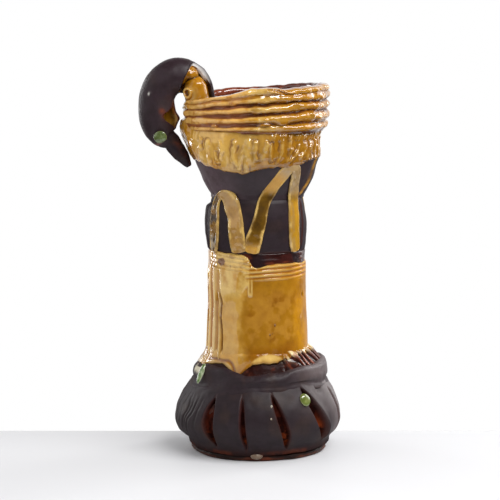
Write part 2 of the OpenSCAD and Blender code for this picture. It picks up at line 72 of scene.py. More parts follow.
# Glaze, slip and clay colours
AMBER = (0.38, 0.16, 0.003)
HONEY = (0.52, 0.25, 0.016)
CREAM = (0.65, 0.43, 0.125)
DEEP = (0.22, 0.07, 0.002)
MAUVE = (0.13, 0.044, 0.022)
OXBLOOD = (0.042, 0.007, 0.005)
RUST = (0.15, 0.03, 0.01)
BLACK = (0.0215, 0.0115, 0.0155)
BLACK_WARM = (0.032, 0.016, 0.0145)
# lighter grey of the painted sheen on the slip's right side
PAINTED_SHEEN_SLIP = (0.062, 0.041, 0.043)
CUP_BROWN = (0.2, 0.045, 0.02)
GREEN = (0.085, 0.125, 0.03)
GREEN_PALE = (0.3, 0.34, 0.17)
STONE = (0.6, 0.54, 0.46)
# white of the highlight painted on the hood's cut edge
HIGHLIGHT_WHITE = (0.86, 0.85, 0.84)
FOOT_DARK = (0.013, 0.004, 0.003)
# How much darker the foot's clay and the belly's slip are, and how much lighter the funnel's and hood's
# slip is painted, as a painted sheen
FOOT_SHADE = 0.62
BELLY_SHADE = 0.86
FUNNEL_SHEEN_LIFT = 1.3
HOOD_SHEEN_LIFT = 1.35
# Weight of the slip's satin layer
SLIP_SHEEN = 0.3
# Depth of the fine pits in metres, and how strongly the glassy layer bends light
PIT_DEPTH = 0.0006
GLAZE_IOR = 1.74


# Number helpers

def smooth(low, high, x):
    """0 below low, 1 above high, an even slope between; low may be the larger."""
    t = np.clip((np.asarray(x) - low) / (high - low), 0, 1)
    return t * t * (3 - 2 * t)


def span(x, rise, full, fade, end):
    """1 from full to fade, easing down to 0 at rise and at end."""
    return smooth(rise, full, x) * smooth(end, fade, x)


def turn(a, centre=0.0):
    """Angle from a centre, from -180 to 180."""
    return (np.asarray(a) - centre + 180) % 360 - 180


def near(a, centre, full, end):
    """1 within full degrees of a centre angle, easing to 0 at end degrees."""
    return smooth(end, full, abs(turn(a, centre)))


def arc(a, centre, r):
    """Distance round a circle from a centre angle."""
    return np.radians(turn(a, centre)) * r


def bump(x, width):
    """A rounded peak: 1 at 0, nearly 0 at twice its width."""
    return np.exp(-(x / width) ** 2)


def around(n):
    return np.arange(n) * 360 / n


def grid(n, rows):
    """Angles round the jug as a column, the same from -180 to 180, and shares up a face as a row."""
    a = around(n)[:, None]
    return a, turn(a), np.linspace(0, 1, rows)[None, :]


def tabled(a, rows):
    """Value by angle from a few (angle, value) pairs."""
    rows = sorted(rows)
    return np.interp(turn(a), [r[0] for r in rows], [r[1] for r in rows], period=360)


def mix(one, two, share):
    """Blend of two colours: the second one's share."""
    one = np.asarray(one, dtype=float)
    two = np.asarray(two, dtype=float)
    share = np.clip(share, 0, 1)[..., None]
    return one * (1 - share) + two * share


def coats(paint, *layers):
    """Paint under layers of (colour, share), laid in turn."""
    for colour, share in layers:
        paint = mix(paint, colour, share)
    return paint


def noise(p, size, seed=0):
    """Smooth noise from -1 to 1 with lumps of about that size."""
    q = np.asarray(p, dtype=float) / size + 4000
    cell = np.floor(q)
    f = q - cell
    f = f * f * (3 - 2 * f)
    c = cell.astype(np.uint64)
    total = np.zeros(q.shape[:-1])
    for corner in range(8):
        h = np.uint64(seed * 7919 + 17)
        weight = 1
        for axis, prime in enumerate((73856093, 19349663, 83492791)):
            step = (corner >> axis) & 1
            h = h ^ ((c[..., axis] + np.uint64(step)) * np.uint64(prime))
            weight = weight * (f[..., axis] if step else 1 - f[..., axis])
        for shift, factor in ((13, 1274126177), (15, 2246822519)):
            h = ((h ^ (h >> np.uint64(shift))) * np.uint64(factor)) & np.uint64(0xFFFFFFFF)
        h = h ^ (h >> np.uint64(16))
        total += weight * ((h & np.uint64(0xFFFF)).astype(float) / 65535)
    return 2 * total - 1


def rough(p, size, seed=0, layers=3):
    """Layered noise, about -1 to 1."""
    return sum(noise(p, size / 2 ** k, seed + 31 * k) / 2 ** k for k in range(layers)) / 1.4


def cloud(p, size, seed, low, high):
    """Layered noise as a share: 0 below low, 1 above high."""
    return smooth(low, high, rough(p, size, seed))


def unit(v):
    """Vectors of length 1."""
    v = np.asarray(v, dtype=float)
    return v / np.maximum(np.linalg.norm(v, axis=-1), 1e-6)[..., None]


def beside(*parts):
    """Columns of several lattices side by side."""
    return np.concatenate(parts, axis=1)


def ring_points(r, a, z):
    """Points from radius, angle and height."""
    t = np.radians(a)
    r, t, z = np.broadcast_arrays(r, t, z)
    return np.stack([r * np.sin(t), -r * np.cos(t), z], axis=-1)


def spline(p0, p1, p2, p3, u):
    """Place between p1 and p2 on a smooth curve through four places."""
    return 0.5 * (2 * p1 + (p2 - p0) * u + (2 * p0 - 5 * p1 + 4 * p2 - p3) * u * u
                  + (3 * p1 - p0 - 3 * p2 + p3) * u ** 3)


def curve(points, n):
    """Smooth curve through control points, n steps for each span."""
    p = np.asarray(points, dtype=float)
    ends = np.concatenate([p[:1], p, p[-1:]])
    out = [spline(*ends[i:i + 4], k / n) for i in range(len(p) - 1) for k in range(n)]
    return np.array(out + [p[-1]])


def round_loop(points, n):
    """Smooth closed loop through control points of shape (around, point, coordinate)."""
    m = points.shape[1]
    p = [points[:, k % m] for k in range(-1, m + 2)]
    return np.stack([spline(*p[i:i + 4], k / n) for i in range(m) for k in range(n)], axis=1)


def path_distance(a, z, r, path, step=5):
    """Distance over the face from each point to a line through (angle, height) knots."""
    knots = curve(path, step) if len(path) > 2 else np.asarray(path, dtype=float)
    scale = np.pi / 180 * r
    x = turn(a, knots[0, 0]) * scale
    best = np.full(np.broadcast(x, z).shape, 1e3)
    for (a0, z0), (a1, z1) in zip(knots[:-1], knots[1:]):
        x0, x1 = (a0 - knots[0, 0]) * scale, (a1 - knots[0, 0]) * scale
        length = (x1 - x0) ** 2 + (z1 - z0) ** 2 + 1e-9
        share = np.clip(((x - x0) * (x1 - x0) + (z - z0) * (z1 - z0)) / length, 0, 1)
        best = np.minimum(best, np.hypot(x - x0 - share * (x1 - x0), z - z0 - share * (z1 - z0)))
    return best


# Materials: every piece carries its own paint, worked out point by point from masks and noise

def fill(tree, node, **values):
    """Set a node's inputs, each to a value or to a link from another node's output."""
    for name, value in values.items():
        socket = node.inputs[name.replace("_", " ")]
        if isinstance(value, bpy.types.NodeSocket):
            tree.links.new(value, socket)
        else:
            socket.default_value = value
    return node


def put(tree, kind, **values):
    """A new shader node with its inputs set."""
    return fill(tree, tree.nodes.new("ShaderNode" + kind), **values)


def ramp(tree, fac, *stops):
    """Colour from a factor, by two stops of (position, colour)."""
    node = put(tree, "ValToRGB", Fac=fac)
    for element, (position, colour) in zip(node.color_ramp.elements, stops):
        element.position = position
        element.color = (*colour, 1)
    return node.outputs["Color"]


def new_material(name):
    mat = bpy.data.materials.new(name)
    mat.use_nodes = True
    return mat, mat.node_tree, mat.node_tree.nodes["Principled BSDF"]


def glaze_material(name, roughness, coat, grain, pits, specular, gloss=0.05):
    """Painted clay with a mottled tone, an uneven sheen, fine pits and perhaps a glassy layer."""
    mat, tree, bsdf = new_material(name)
    paint = put(tree, "Attribute")
    paint.attribute_name = "paint"
    place = put(tree, "TexCoord").outputs["Object"]
    mottle = put(tree, "TexNoise", Vector=place, Scale=160, Detail=7, Roughness=0.62)
    low = 1 - grain
    shade = ramp(tree, mottle.outputs["Fac"], (0.3, (low, low * 0.94, low * 0.86)), (0.62, (1, 1, 1)))
    tint = put(tree, "Mix")
    tint.data_type = "RGBA"
    tint.blend_type = "MULTIPLY"
    fill(tree, tint, Factor=1, A=paint.outputs["Color"], B=shade)
    wear = put(tree, "TexNoise", Vector=place, Scale=90, Detail=5)
    sheen = put(tree, "MapRange", Value=wear.outputs["Fac"], From_Min=0.3, From_Max=0.7,
                To_Min=roughness * 0.75, To_Max=roughness * 1.3)
    skin = put(tree, "TexNoise", Vector=place, Scale=700, Detail=4)
    relief = put(tree, "Bump", Strength=pits, Distance=PIT_DEPTH, Height=skin.outputs["Fac"])
    fill(tree, bsdf, Base_Color=tint.outputs["Result"], Roughness=sheen.outputs["Result"],
         Normal=relief.outputs["Normal"], Specular_IOR_Level=specular)
    if coat:
        # the paint's fourth channel tells where the glassy or satin layer lies
        fill(tree, bsdf, Coat_Weight=paint.outputs["Alpha"], Coat_IOR=GLAZE_IOR, Coat_Roughness=gloss)
    return mat


# Each look is a material that its pieces take, and a slot name
AMBER_LOOK = (glaze_material("amber glaze", 0.4, True, 0.18, 0.1, 0.06), "amber_glaze")
BLACK_LOOK = (glaze_material("black slip", 0.5, True, 0.3, 0.22, 0, 0.5), "black_slip")
CLAY_LOOK = (glaze_material("bare clay", 0.6, False, 0.4, 0.5, 0.2), "bare_clay")
OXBLOOD_LOOK = (glaze_material("oxblood slip", 0.35, True, 0.3, 0.16, 0.15), "oxblood_slip")
CUP_LOOK = (glaze_material("cup brown", 0.35, True, 0.25, 0.1, 0.15), "cup_brown")
GREEN_LOOK = (glaze_material("green glaze", 0.3, True, 0.3, 0.08, 0.15), "green_glaze")
HOOD_LOOK = (glaze_material("hood slip and glaze", 0.46, True, 0.3, 0.16, 0.32), "black_slip")


def plain_clay():
    """Procedural clay for the CAD pieces that stay: inner pot, core tube and dip tube."""
    mat, tree, bsdf = new_material("inner clay")
    place = put(tree, "TexCoord").outputs["Object"]
    grog = put(tree, "TexNoise", Vector=place, Scale=120, Detail=8).outputs["Fac"]
    colour = ramp(tree, grog, (0.4, (0.03, 0.006, 0.003)), (0.72, (0.13, 0.025, 0.008)))
    relief = put(tree, "Bump", Strength=0.3, Distance=PIT_DEPTH, Height=grog)
    fill(tree, bsdf, Base_Color=colour, Normal=relief.outputs["Normal"], Roughness=0.65)
    return mat


# Mesh helpers

def show(name, data):
    """A new object in the scene."""
    obj = bpy.data.objects.new(name, data)
    bpy.context.scene.collection.objects.link(obj)
    return obj


def add_lattice(name, points, paint, look, nodes, capped=False, shine=1.0):
    """A closed piece from a lattice of points (u, v), round in v, and round in u or capped with fans."""
    nu, nv = points.shape[:2]
    gi, gj = np.meshgrid(np.arange(nu - 1 if capped else nu), np.arange(nv), indexing="ij")
    ni, nj = (gi + 1) % nu, (gj + 1) % nv
    quads = np.stack([gi * nv + gj, ni * nv + gj, ni * nv + nj, gi * nv + nj], axis=-1).reshape(-1, 4)
    verts = points.reshape(-1, 3)
    colours = np.ones((nu, nv, 4))
    colours[..., :3] = paint
    colours[..., 3] = shine
    colours = colours.reshape(-1, 4)
    faces = quads.tolist()
    if capped:
        for end, flip in ((0, False), (nu - 1, True)):
            hub = len(verts)
            verts = np.concatenate([verts, points[end].mean(axis=0)[None]])
            colours = np.concatenate([colours, colours[end * nv:end * nv + nv].mean(axis=0)[None]])
            for k in range(nv):
                edge = [end * nv + k, end * nv + (k + 1) % nv]
                faces.append([hub] + (edge[::-1] if flip else edge))
    t = np.array([(f[0], f[k], f[k + 1]) for f in faces for k in range(1, len(f) - 1)])
    volume = np.einsum("ij,ij->i", verts[t[:, 0]], np.cross(verts[t[:, 1]], verts[t[:, 2]])).sum()
    if volume < 0:
        faces = [f[::-1] for f in faces]
    mesh = bpy.data.meshes.new(name)
    mesh.from_pydata((verts * MM).tolist(), [], faces)
    layer = mesh.attributes.new("paint", "FLOAT_COLOR", "POINT")
    layer.data.foreach_set("color", np.clip(colours, 0, 1).ravel())
    mesh.polygons.foreach_set("use_smooth", [True] * len(mesh.polygons))
    mesh.update()
    piece = show(name, mesh)
    material, slot = look
    mesh.materials.append(material)
    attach(piece, "root")
    if nodes:
        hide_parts(*nodes)


def shell(outer_r, z, a, inner_r):
    """Section lattice of a rolled slab: outer face upwards, then three hidden inner rows downwards."""
    top, low = z[:, -1], z[:, 0]
    back = np.stack([top - 0.2, 0.5 * (top + low), low + 0.2], axis=1)
    rr = beside(outer_r, np.broadcast_to(inner_r, back.shape))
    return ring_points(rr, a, beside(z, back))


def pad(paint, count=3):
    """Paint or shine with its last row's value on the hidden rows too."""
    return beside(paint, np.repeat(paint[:, -1:], count, axis=1))


def rounded(u, edge):
    """How far a face draws back near its two ends: 1 at the very end, 0 inside."""
    d = np.minimum(u, 1 - u)
    t = np.clip(1 - d / edge, 0, 1)
    return 1 - np.sqrt(np.maximum(0, 1 - t * t))


# Base

def belly(z):
    """Radius of the mantle."""
    z = np.asarray(z, dtype=float)
    low_u = np.clip((z - 3.6) / 23.4, 0, 1) ** 0.85
    low = 53.5 + 10 * (1 - np.cos(np.pi * low_u)) / 2
    high_u = np.clip((z - WIDEST_Z) / 33, 0, 1)
    high = 50.8 + 12.7 * np.maximum(np.cos(np.pi / 2 * high_u), 0) ** 1.1
    return np.where(z < WIDEST_Z, low, high)


def foot_draw(a, z):
    """How far the foot is pressed in at the left."""
    return 2.8 * near(a, -88, 15, 55) * smooth(16, 9, z)


def left_draw(a, z):
    """How far the base is drawn in at the left, where the shoulder stands narrower."""
    deep = np.interp(z, [20, 30, 38, 45, 52, 57, 62], [0, 0.6, 1.5, 2.1, 2.8, 4.4, 4.8])
    return deep * near(a, -88, 28, 66)


def build_foot():
    a = around(300)[:, None]
    rim = [(47.6, 7), (48.2, 6.2), (48.6, 4.8), (51.4, 4.4), (52.4, 3.6), (52.7, 2.4), (52.3, 1.2),
           (51.2, 0.3), (49.6, 0), (40, 0), (26, 0), (12, 0)]
    section = curve(rim, 4)
    r, z = section[None, :, 0], section[None, :, 1]
    base = ring_points(r, a, z)
    edge = smooth(49.5, 52, r) * smooth(0.1, 1, z)
    lumps = 0.9 * rough(base, 9, 3) * edge
    points = ring_points(r + lumps - foot_draw(a, z) * smooth(40, 49, r), a, z)
    paint = mix((0.11, 0.024, 0.008), (0.24, 0.05, 0.014), cloud(base, 8, 8, -0.1, 0.5))
    # the foot is painted darker upwards, in blotches, and stays red near the table
    darkened = smooth(-0.2, 0.35, rough(base, 12, 12) + 0.25 * (z - 2.2))
    paint = FOOT_SHADE * mix(paint, FOOT_DARK, 0.9 * darkened)
    add_lattice("clay_foot", points.transpose(1, 0, 2), paint.transpose(1, 0, 2), CLAY_LOOK, ["foot_slab"],
                capped=True)


# Each slash: angle at its top, angle at its foot, top height, foot height, half width, where it is widest,
# rise of its left lip, rise of its right lip, bow of its middle to the right
SLASHES = [
    (-33.5, -33, 47.5, 10.5, 4.8, 0.5, 0.4, 1, -3.4),
    (-11.5, -8.5, 49, 9, 1.8, 0.6, 0.7, 0.5, 0),
    (11, 23, 51, 9.5, 3.1, 0.62, 0.3, 0.9, 0.6),
    (37.5, 57.5, 54, 13.5, 4.6, 0.68, 0.2, 2.6, -0.6),
    (72, 81, 50, 13, 2, 0.6, 0.4, 0.8, 0),
    (97, 101, 49, 12, 2.8, 0.5, 0.5, 0.7, 0),
    (121, 126, 48, 11, 2.1, 0.6, 0.6, 0.6, 0.8),
    (144, 154, 49.5, 12, 3, 0.6, 0.3, 1.2, 0),
    (171, 178, 50, 13, 2.4, 0.55, 0.5, 0.8, -0.8),
    (199, 203, 48.5, 12, 3.2, 0.6, 0.4, 0.9, 0),
    (223, 227, 47, 11, 2, 0.6, 0.6, 0.6, 0.6),
    (247, 253, 49, 12, 2.7, 0.6, 0.4, 0.8, 0),
    (272, 276, 48, 13, 2.2, 0.5, 0.5, 0.7, 0),
]


def shoulder_edge(a):
    """Height of the rolled shoulder's wavy lower edge on the petals."""
    t = np.radians(a)
    return 51 + 1.2 * np.sin(3 * t + 0.6) + 0.7 * np.sin(8 * t + 2) + 1.8 * near(a, 70, 20, 80)


def build_mantle():
    a, side_a, u = grid(960, 116)
    low = np.maximum(3.9 + 1.3 * rough(ring_points(54, a, 0), 16, 41), 1)
    z = low + (MANTLE_TOP - low) * u
    face = np.maximum(belly(z) - left_draw(a, z), 48.2)
    base = ring_points(face, a, z)
    r = face + 0.55 * rough(base, 20, 5) + 0.16 * noise(base, 5, 6)
    # the edge stands up as a short foot under a pressed line
    r = r - 2.2 * rounded(u * 0.5, 0.02)
    press = 11.5 + 1.8 * noise(ring_points(54, a, 0), 14, 43)
    r = r - foot_draw(a, z)
    r = r - 1.1 * bump(z - press, 2.2) * (0.6 + 0.4 * noise(base, 12, 44)) + 0.7 * bump(z - press + 5, 3.2)
    cut = np.zeros_like(r)
    lip_edge = np.zeros_like(r)
    low_end = np.zeros_like(r)
    for k, (a_top, a_foot, z_top, z_foot, half, peak, left_lip, right_lip, bow) in enumerate(SLASHES):
        share = (z_top - z) / (z_top - z_foot)
        down = np.clip(share, 0, 1)
        wander = 1.2 * np.sin(5 * down + k * 1.7) * down * (1 - down) + bow * np.sin(np.pi * down)
        centre = a_top + (a_foot - a_top) * down + wander
        warped = np.where(down < peak, 0.5 * down / peak, 0.5 + 0.5 * (down - peak) / (1 - peak))
        width = half * np.sin(np.pi * warped) ** 0.75 * ((share > 0) & (share < 1))
        side = arc(a, centre, face)
        far = abs(side) - width
        inside = smooth(0.35, -0.75, far) * (width > 0.15)
        cut = np.maximum(cut, inside * np.clip(width / 1.4, 0, 1))
        low_end = np.maximum(low_end, inside * smooth(0.5, 0.75, share))
        along = span(share, -0.12, 0.1, 0.9, 1.1)
        lip = np.where(side < 0, left_lip, right_lip)
        r = r + along * lip * bump(np.maximum(far - 0.6, 0), 4.6) * smooth(-0.4, 1, far)
        r = r - along * 0.65 * bump(far, 0.9) * (far > -0.5)
        lip_edge = np.maximum(lip_edge, along * bump(far - 0.2, 0.7))
    # shallow pleats at the left and a dimple at the right
    fold = np.zeros_like(r)
    for pleat, reach in ((-50.5, 0.5), (-57, 0.8), (-61, 0.6), (-65, 0.9), (-71.5, 0.6), (-80, 0.7)):
        d = arc(a, pleat + 5 * smooth(20, 50, z) + 2.5 * noise(base, 9, 47), face)
        fold = np.maximum(fold, reach * bump(d, 1.3) * span(z, 12, 24, 38, 52))
    r = r - 0.7 * fold
    dimple = np.hypot(arc(a, 55.7, face), 1.6 * (z - 51))
    r = r - 1.5 * bump(dimple, 3.2)
    floor = face - 4.7 + 0.5 * rough(base, 4, 61)
    r = np.where(cut > 0, r * (1 - cut) + np.minimum(r, floor) * cut, r)
    paint = BELLY_SHADE * mix(BLACK, BLACK_WARM, cloud(base, 12, 71, -0.1, 0.8))
    # painted sheen: the slip is painted lighter at the right and along the right edge, where the light
    # falls
    painted_sheen = span(side_a, 18, 56, 130, 170) * smooth(22, 44, z)
    paint = mix(paint, PAINTED_SHEEN_SLIP, 0.7 * painted_sheen)
    painted_edge_sheen = span(side_a, 58, 76, 130, 170) * smooth(8, 20, z)
    # the pleats are painted near black, a painted shade in their creases
    paint = coats(paint, ((0.12, 0.088, 0.09), 0.7 * painted_edge_sheen), ((0.006, 0.003, 0.003), 0.75 * fold))
    near_foot = smooth(13, 4.5, z)
    paint = coats(
        paint,
        ((0.02, 0.006, 0.004), 0.7 * near_foot),
        (RUST, 0.22 * lip_edge + 0.4 * smooth(5, 2, z - low) * cloud(base, 8, 77, -0.1, 0.5)),
    )
    inner = mix((0.016, 0.003, 0.002), (0.055, 0.009, 0.004), cloud(base, 6, 81, -0.3, 0.4))
    glow = low_end * cloud(base, 5, 85, -0.25, 0.15)
    inner = mix(inner, (0.22, 0.04, 0.01), 0.75 * glow)
    inside = smooth(0.25, 0.8, cut)
    paint = mix(paint, inner, inside)
    dull = np.maximum(0.9 * inside, 0.6 * near_foot)
    shine = pad((SLIP_SHEEN + 0.3 * painted_sheen + 0.4 * painted_edge_sheen) * (1 - dull))
    add_lattice("slashed_mantle", shell(r, z, a, 47), pad(paint), BLACK_LOOK, ["base_mantle"],
                shine=shine)


def lip_top(a):
    """Height of the shoulder's upper edge."""
    t = np.radians(a)
    return (66 + 4.4 * near(a, 84, 20, 95) + 0.6 * near(a, -75, 10, 60)
            + 3.2 * near(a, -42, 10, 26) - 1.8 * near(a, 6, 10, 26)
            + 0.5 * np.sin(4 * t + 1) + 0.35 * np.sin(11 * t))


def build_shoulder():
    a = around(420)
    top = lip_top(a)
    edge = shoulder_edge(a)
    wide = 1 + 0.25 * np.sin(np.radians(5 * a + 40))
    right = near(a, 80, 25, 95)
    left = near(a, -85, 35, 80)
    proud = wide * (1 - 0.85 * near(a, -55, 35, 75))
    proud = proud * (1 - 0.8 * near(a, 80, 24, 48))
    rows = [
        (belly(edge) - 0.5 - left_draw(a, edge), edge - 0.4),
        (belly(edge + 1.5) + 0.25 * proud - left_draw(a, edge + 1.5), edge + 1.7),
        (belly(edge + 4) + 0.7 * proud + 0.1 * right - left_draw(a, edge + 4), edge + 4.2),
        (53.4 + 0.5 * wide - 4.4 * left, 60),
        (52.3 + 0.5 * wide + 0.4 * right - 4.6 * left, top - 3),
        (50.9 + 0.8 * right - 4.4 * left, top - 0.9),
        (48.9 + 0.9 * right - 3.6 * left, top),
        (46.9 + 0.7 * right - 2.6 * left, top - 0.7),
        (45.4 + 0.8 * right - 1.4 * left, top - 2.6),
        (44.8 + 0.8 * right - 0.9 * left, 62),
        (45.2 + 0.8 * right - 0.6 * left, 60.5),
        (49 - 2.6 * left, 60.2),
        (50.2 - 2.6 * left, 57),
        (51.2 - 2.6 * left, 54.5),
    ]
    loop = np.stack([np.stack([r + 0 * a, z + 0 * a], axis=-1) for r, z in rows], axis=1)
    loop = round_loop(loop, 4)
    r, z = loop[..., 0], loop[..., 1]
    base = ring_points(r, a[:, None], z)
    outer = smooth(44, 51, r)
    r = r + outer * (0.6 * rough(base, 12, 15) + 0.15 * noise(base, 4, 16)) * smooth(50, 56, z)
    torn = near(a, 10, 20, 40)[:, None]
    z = z + (0.4 * rough(base, 9, 17) + 0.8 * torn * rough(base, 5, 18)) * smooth(60, 64, z)
    points = ring_points(r, a[:, None], z)
    paint = mix(BLACK, BLACK_WARM, cloud(base, 10, 19, -0.1, 0.8))
    paint = mix(paint, RUST, 0.45 * smooth(47.5, 45, r) * cloud(base, 6, 23, -0.4, 0.4))
    # painted sheen: lighter at the right, as on the mantle
    painted_sheen = span(turn(a), 18, 56, 130, 170)[:, None] * outer
    painted_sheen = painted_sheen * (0.35 + 0.65 * smooth(56, 64, z))
    paint = mix(paint, (0.11, 0.078, 0.08), 0.75 * painted_sheen)
    # a pale glaze run over the lip at the left, partly glaze, partly a painted highlight
    run = near(a, -70, 6, 13)[:, None] * smooth(60.5, 63.5, z + 1.5 * rough(base, 4, 27))
    paint = mix(paint, (0.6, 0.56, 0.42), 0.9 * run)
    add_lattice("rolled_shoulder", points, paint, BLACK_LOOK, ["shoulder_coil"],
                shine=SLIP_SHEEN + 0.5 * painted_sheen)


# Stem

# Height of the stem's upper edge, as (angle, height)
STEM_EDGE = [(-150, 150.5), (-110, 154.2), (-75, 155), (-55, 155), (-34, 154.8), (-18, 154.6),
             (-12.5, 153.2), (-9.8, 150.9), (-8.2, 148.2), (-4.9, 145.2), (-1.1, 144), (4.5, 144.7),
             (12, 146.2), (24, 147), (52, 146.8), (70, 145.4), (110, 146.2), (150, 147)]
# Height of the amber glaze's lower edge on the skirt
GLAZE_EDGE = [(-150, 70), (-110, 68.5), (-77, 68), (-64, 68.6), (-50, 70.2), (-40, 70.6), (-32, 68.6),
              (-26, 65.6), (-21, 63), (-17, 64.4), (-11, 67.4), (-5, 71.2), (6, 71.9), (13, 71.4),
              (22, 71.6), (29, 73.6), (36, 76.4), (44, 78), (52, 78.8), (67, 78.8), (85, 78), (130, 75),
              (170, 71.5)]


def stem_face(z):
    return STEM_R - 0.2 + 1.3 * smooth(118, 76, z)


def stem_glaze(base, s, z):
    """Dark amber with lacy lighter blotches, paler to the left of a soft upright line."""
    fine = rough(base, 5, 57)
    right = smooth(42, 56, s + 4 * fine) * smooth(150, 110, s)
    blotch = smooth(-0.1, 0.6, rough(base, 12, 63) + 0.3 * fine)
    paint = mix((0.335, 0.145, 0.004), (0.26, 0.094, 0.002), 0.8 * blotch)
    net = rough(base, 4.6, 67) + 0.5 * rough(base, 12, 68)
    lace = smooth(-0.3, 0.25, net) * span(s, -20, -8, 48, 60) * span(z, 80, 90, 118, 132)
    paint = mix(paint, (0.41, 0.19, 0.018), 0.85 * lace)
    low = bump(z - 79, 5) * span(s, -24, -8, 32, 50)
    paint = coats(
        paint,
        ((0.22, 0.072, 0.001), 0.7 * low),
        ((0.47, 0.206, 0.003), 0.85 * right * cloud(base, 13, 51, -0.7, 0.2)),
    )
    split = -17 + 4 * noise(base * np.array([0, 0, 1]), 16, 69) + 4 * fine
    wash = smooth(-64, -50, s) * smooth(split + 6, split - 6, s) * smooth(60, 76, z)
    return mix(paint, mix(HONEY, CREAM, 0.2 + 0.3 * smooth(-0.5, 0.5, fine)), 0.8 * wash)


def build_stem():
    a, s, u = grid(480, 190)
    top = tabled(a, STEM_EDGE) + 0.5 * noise(ring_points(38, a, 0), 5, 2)
    z = STEM_LOW + (top - STEM_LOW) * u
    face = stem_face(z)
    base = ring_points(face, a, z)
    upright = base * np.array([1, 1, 0.16])
    r = face + 0.4 * rough(base, 24, 3) + 0.1 * noise(base, 6, 9)
    # vertical folds beside the seam
    left = span(s, -100, -90, -50, -44) * span(z, 62, 70, 134, 148)
    fold = np.cos(np.radians((s + 83) * 360 / 11.5) + 2.4 * noise(upright, 9, 13))
    r = r + left * (0.8 * fold + 0.5 * noise(upright, 3, 14))
    # the seam's crevice
    seam_a = np.interp(z, [60, 82, 91, 105, 117, 123, 130], [-43, -43.8, -43.8, -47, -45.3, -48.6, -51])
    d = np.radians(s - seam_a) * face + 0.5 * noise(upright, 3, 18)
    shut = span(z, 63, 69, 121, 129)
    r = r - 1.9 * bump(d, 0.75) * shut + 0.9 * bump(d + 2.2, 1.2) * shut + 0.35 * bump(d - 1.8, 1) * shut
    # combed lines under the upper edge
    comb = span(s, -17, -7, 74, 88) * smooth(133.8, 136, z)
    lean = 1.6 * smooth(-12, 30, s) + 0.7 * noise(base * np.array([1, 1, 0.3]), 16, 26)
    wave = np.cos(2 * np.pi * (z - 137.4 - lean) / 3.3)
    r = r + comb * 0.34 * wave
    left_comb = span(s, -75, -58, -12, -7) * smooth(140, 143, z)
    r = r + left_comb * (0.3 * np.cos(2 * np.pi * (z - 141 + 0.05 * s) / 3.3) + 0.6 * rough(base, 4, 29))
    # the thick pale pour on the upper left, with a square right edge and a drip
    pour_low = 122 + 8 * smooth(-24, -11, s) + 2 * noise(base * np.array([1, 1, 0]), 7, 34)
    soft = 1.5 + 4 * smooth(-16, -24, s)
    pour = span(s, -60, -53, -10.2, -8.6) * smooth(pour_low - soft, pour_low + soft, z)
    drip = span(s, -11.4, -10.4, -6.2, -5) * span(z, 121.6, 123.4, 133, 138)
    hollow = span(s, -9.8, -8.8, -7.6, -6.6) * smooth(124, 126, z)
    pour = np.maximum(pour, drip * (1 - 0.75 * hollow))
    r = r + 0.35 * pour
    pits = []
    for pit_a, pit_z, size in ((20.5, 100, 0.6), (14.5, 93, 0.55), (17, 94, 0.35), (66, 121.4, 1.2)):
        pit = bump(np.hypot(np.radians(s - pit_a) * face, 0.5 * (z - pit_z)), 0.8 * size)
        r = r - 0.9 * size * pit
        pits.append(pit)
    r = r - 2.2 * rounded(0.5 + 0.5 * u, 0.012)
    fine = rough(base, 5, 57)
    lump = rough(base, 13, 51)
    paint = coats(
        stem_glaze(base, s, z),
        (CREAM, 0.95 * pour * smooth(-1.2, -0.1, fine + lump)),
        # the fold crests are painted pale, partly thin glaze, partly a painted highlight; the troughs
        # darker where glaze pools
        ((0.74, 0.56, 0.27), 0.85 * left * smooth(-0.1, 0.7, fold)),
        ((0.36, 0.14, 0.003), 0.75 * left * smooth(-0.3, -0.9, fold)),
        ((0.3, 0.1, 0.001), 0.85 * comb * smooth(-0.2, -0.9, wave)),
        (mix(HONEY, CREAM, smooth(60, -10, s)), 0.75 * comb * smooth(-0.2, 0.7, wave)),
        (DEEP, 0.5 * left_comb * cloud(base, 4, 29, 0.1, 0.5)),
        (RUST, 0.9 * bump(d, 0.9) * shut),
    )
    for pit in pits:
        paint = mix(paint, OXBLOOD, 0.95 * pit)
    spot = np.hypot(np.radians(s + 47) * face, 1.3 * (z - 147.5))
    paint = mix(paint, (0.11, 0.022, 0.01), 0.85 * smooth(4.2, 3, spot + 1.6 * fine))
    # cream on the upper left, partly pale glaze, partly a painted highlight
    high_left = span(s, -112, -96, -70, -60) * smooth(128, 138, z)
    rim = smooth(top - 1.6, top - 0.2, z)
    paint = coats(
        paint,
        (CREAM, 0.8 * high_left * smooth(-0.5, 0.3, fine)),
        (CREAM, 0.5 * rim * smooth(-0.6, 0.3, fine)),
    )
    # painted light: the stem's far left is painted brighter and warmer
    far_left = span(s, -115, -98, -68, -54)
    paint = paint * (1 + far_left[..., None] * np.array([0.14, 0.03, -0.25]))
    calm = np.maximum(0.8 * span(s, 24, 50, 110, 150), 0.6 * comb)
    calm = np.maximum(calm, 0.85 * smooth(87, 82, z) * span(s, -14, -4, 34, 44))
    add_lattice("amber_stem", shell(r, z, a, BORE_R), pad(paint), AMBER_LOOK, ["stem_wrap"],
                shine=pad(1 - calm))


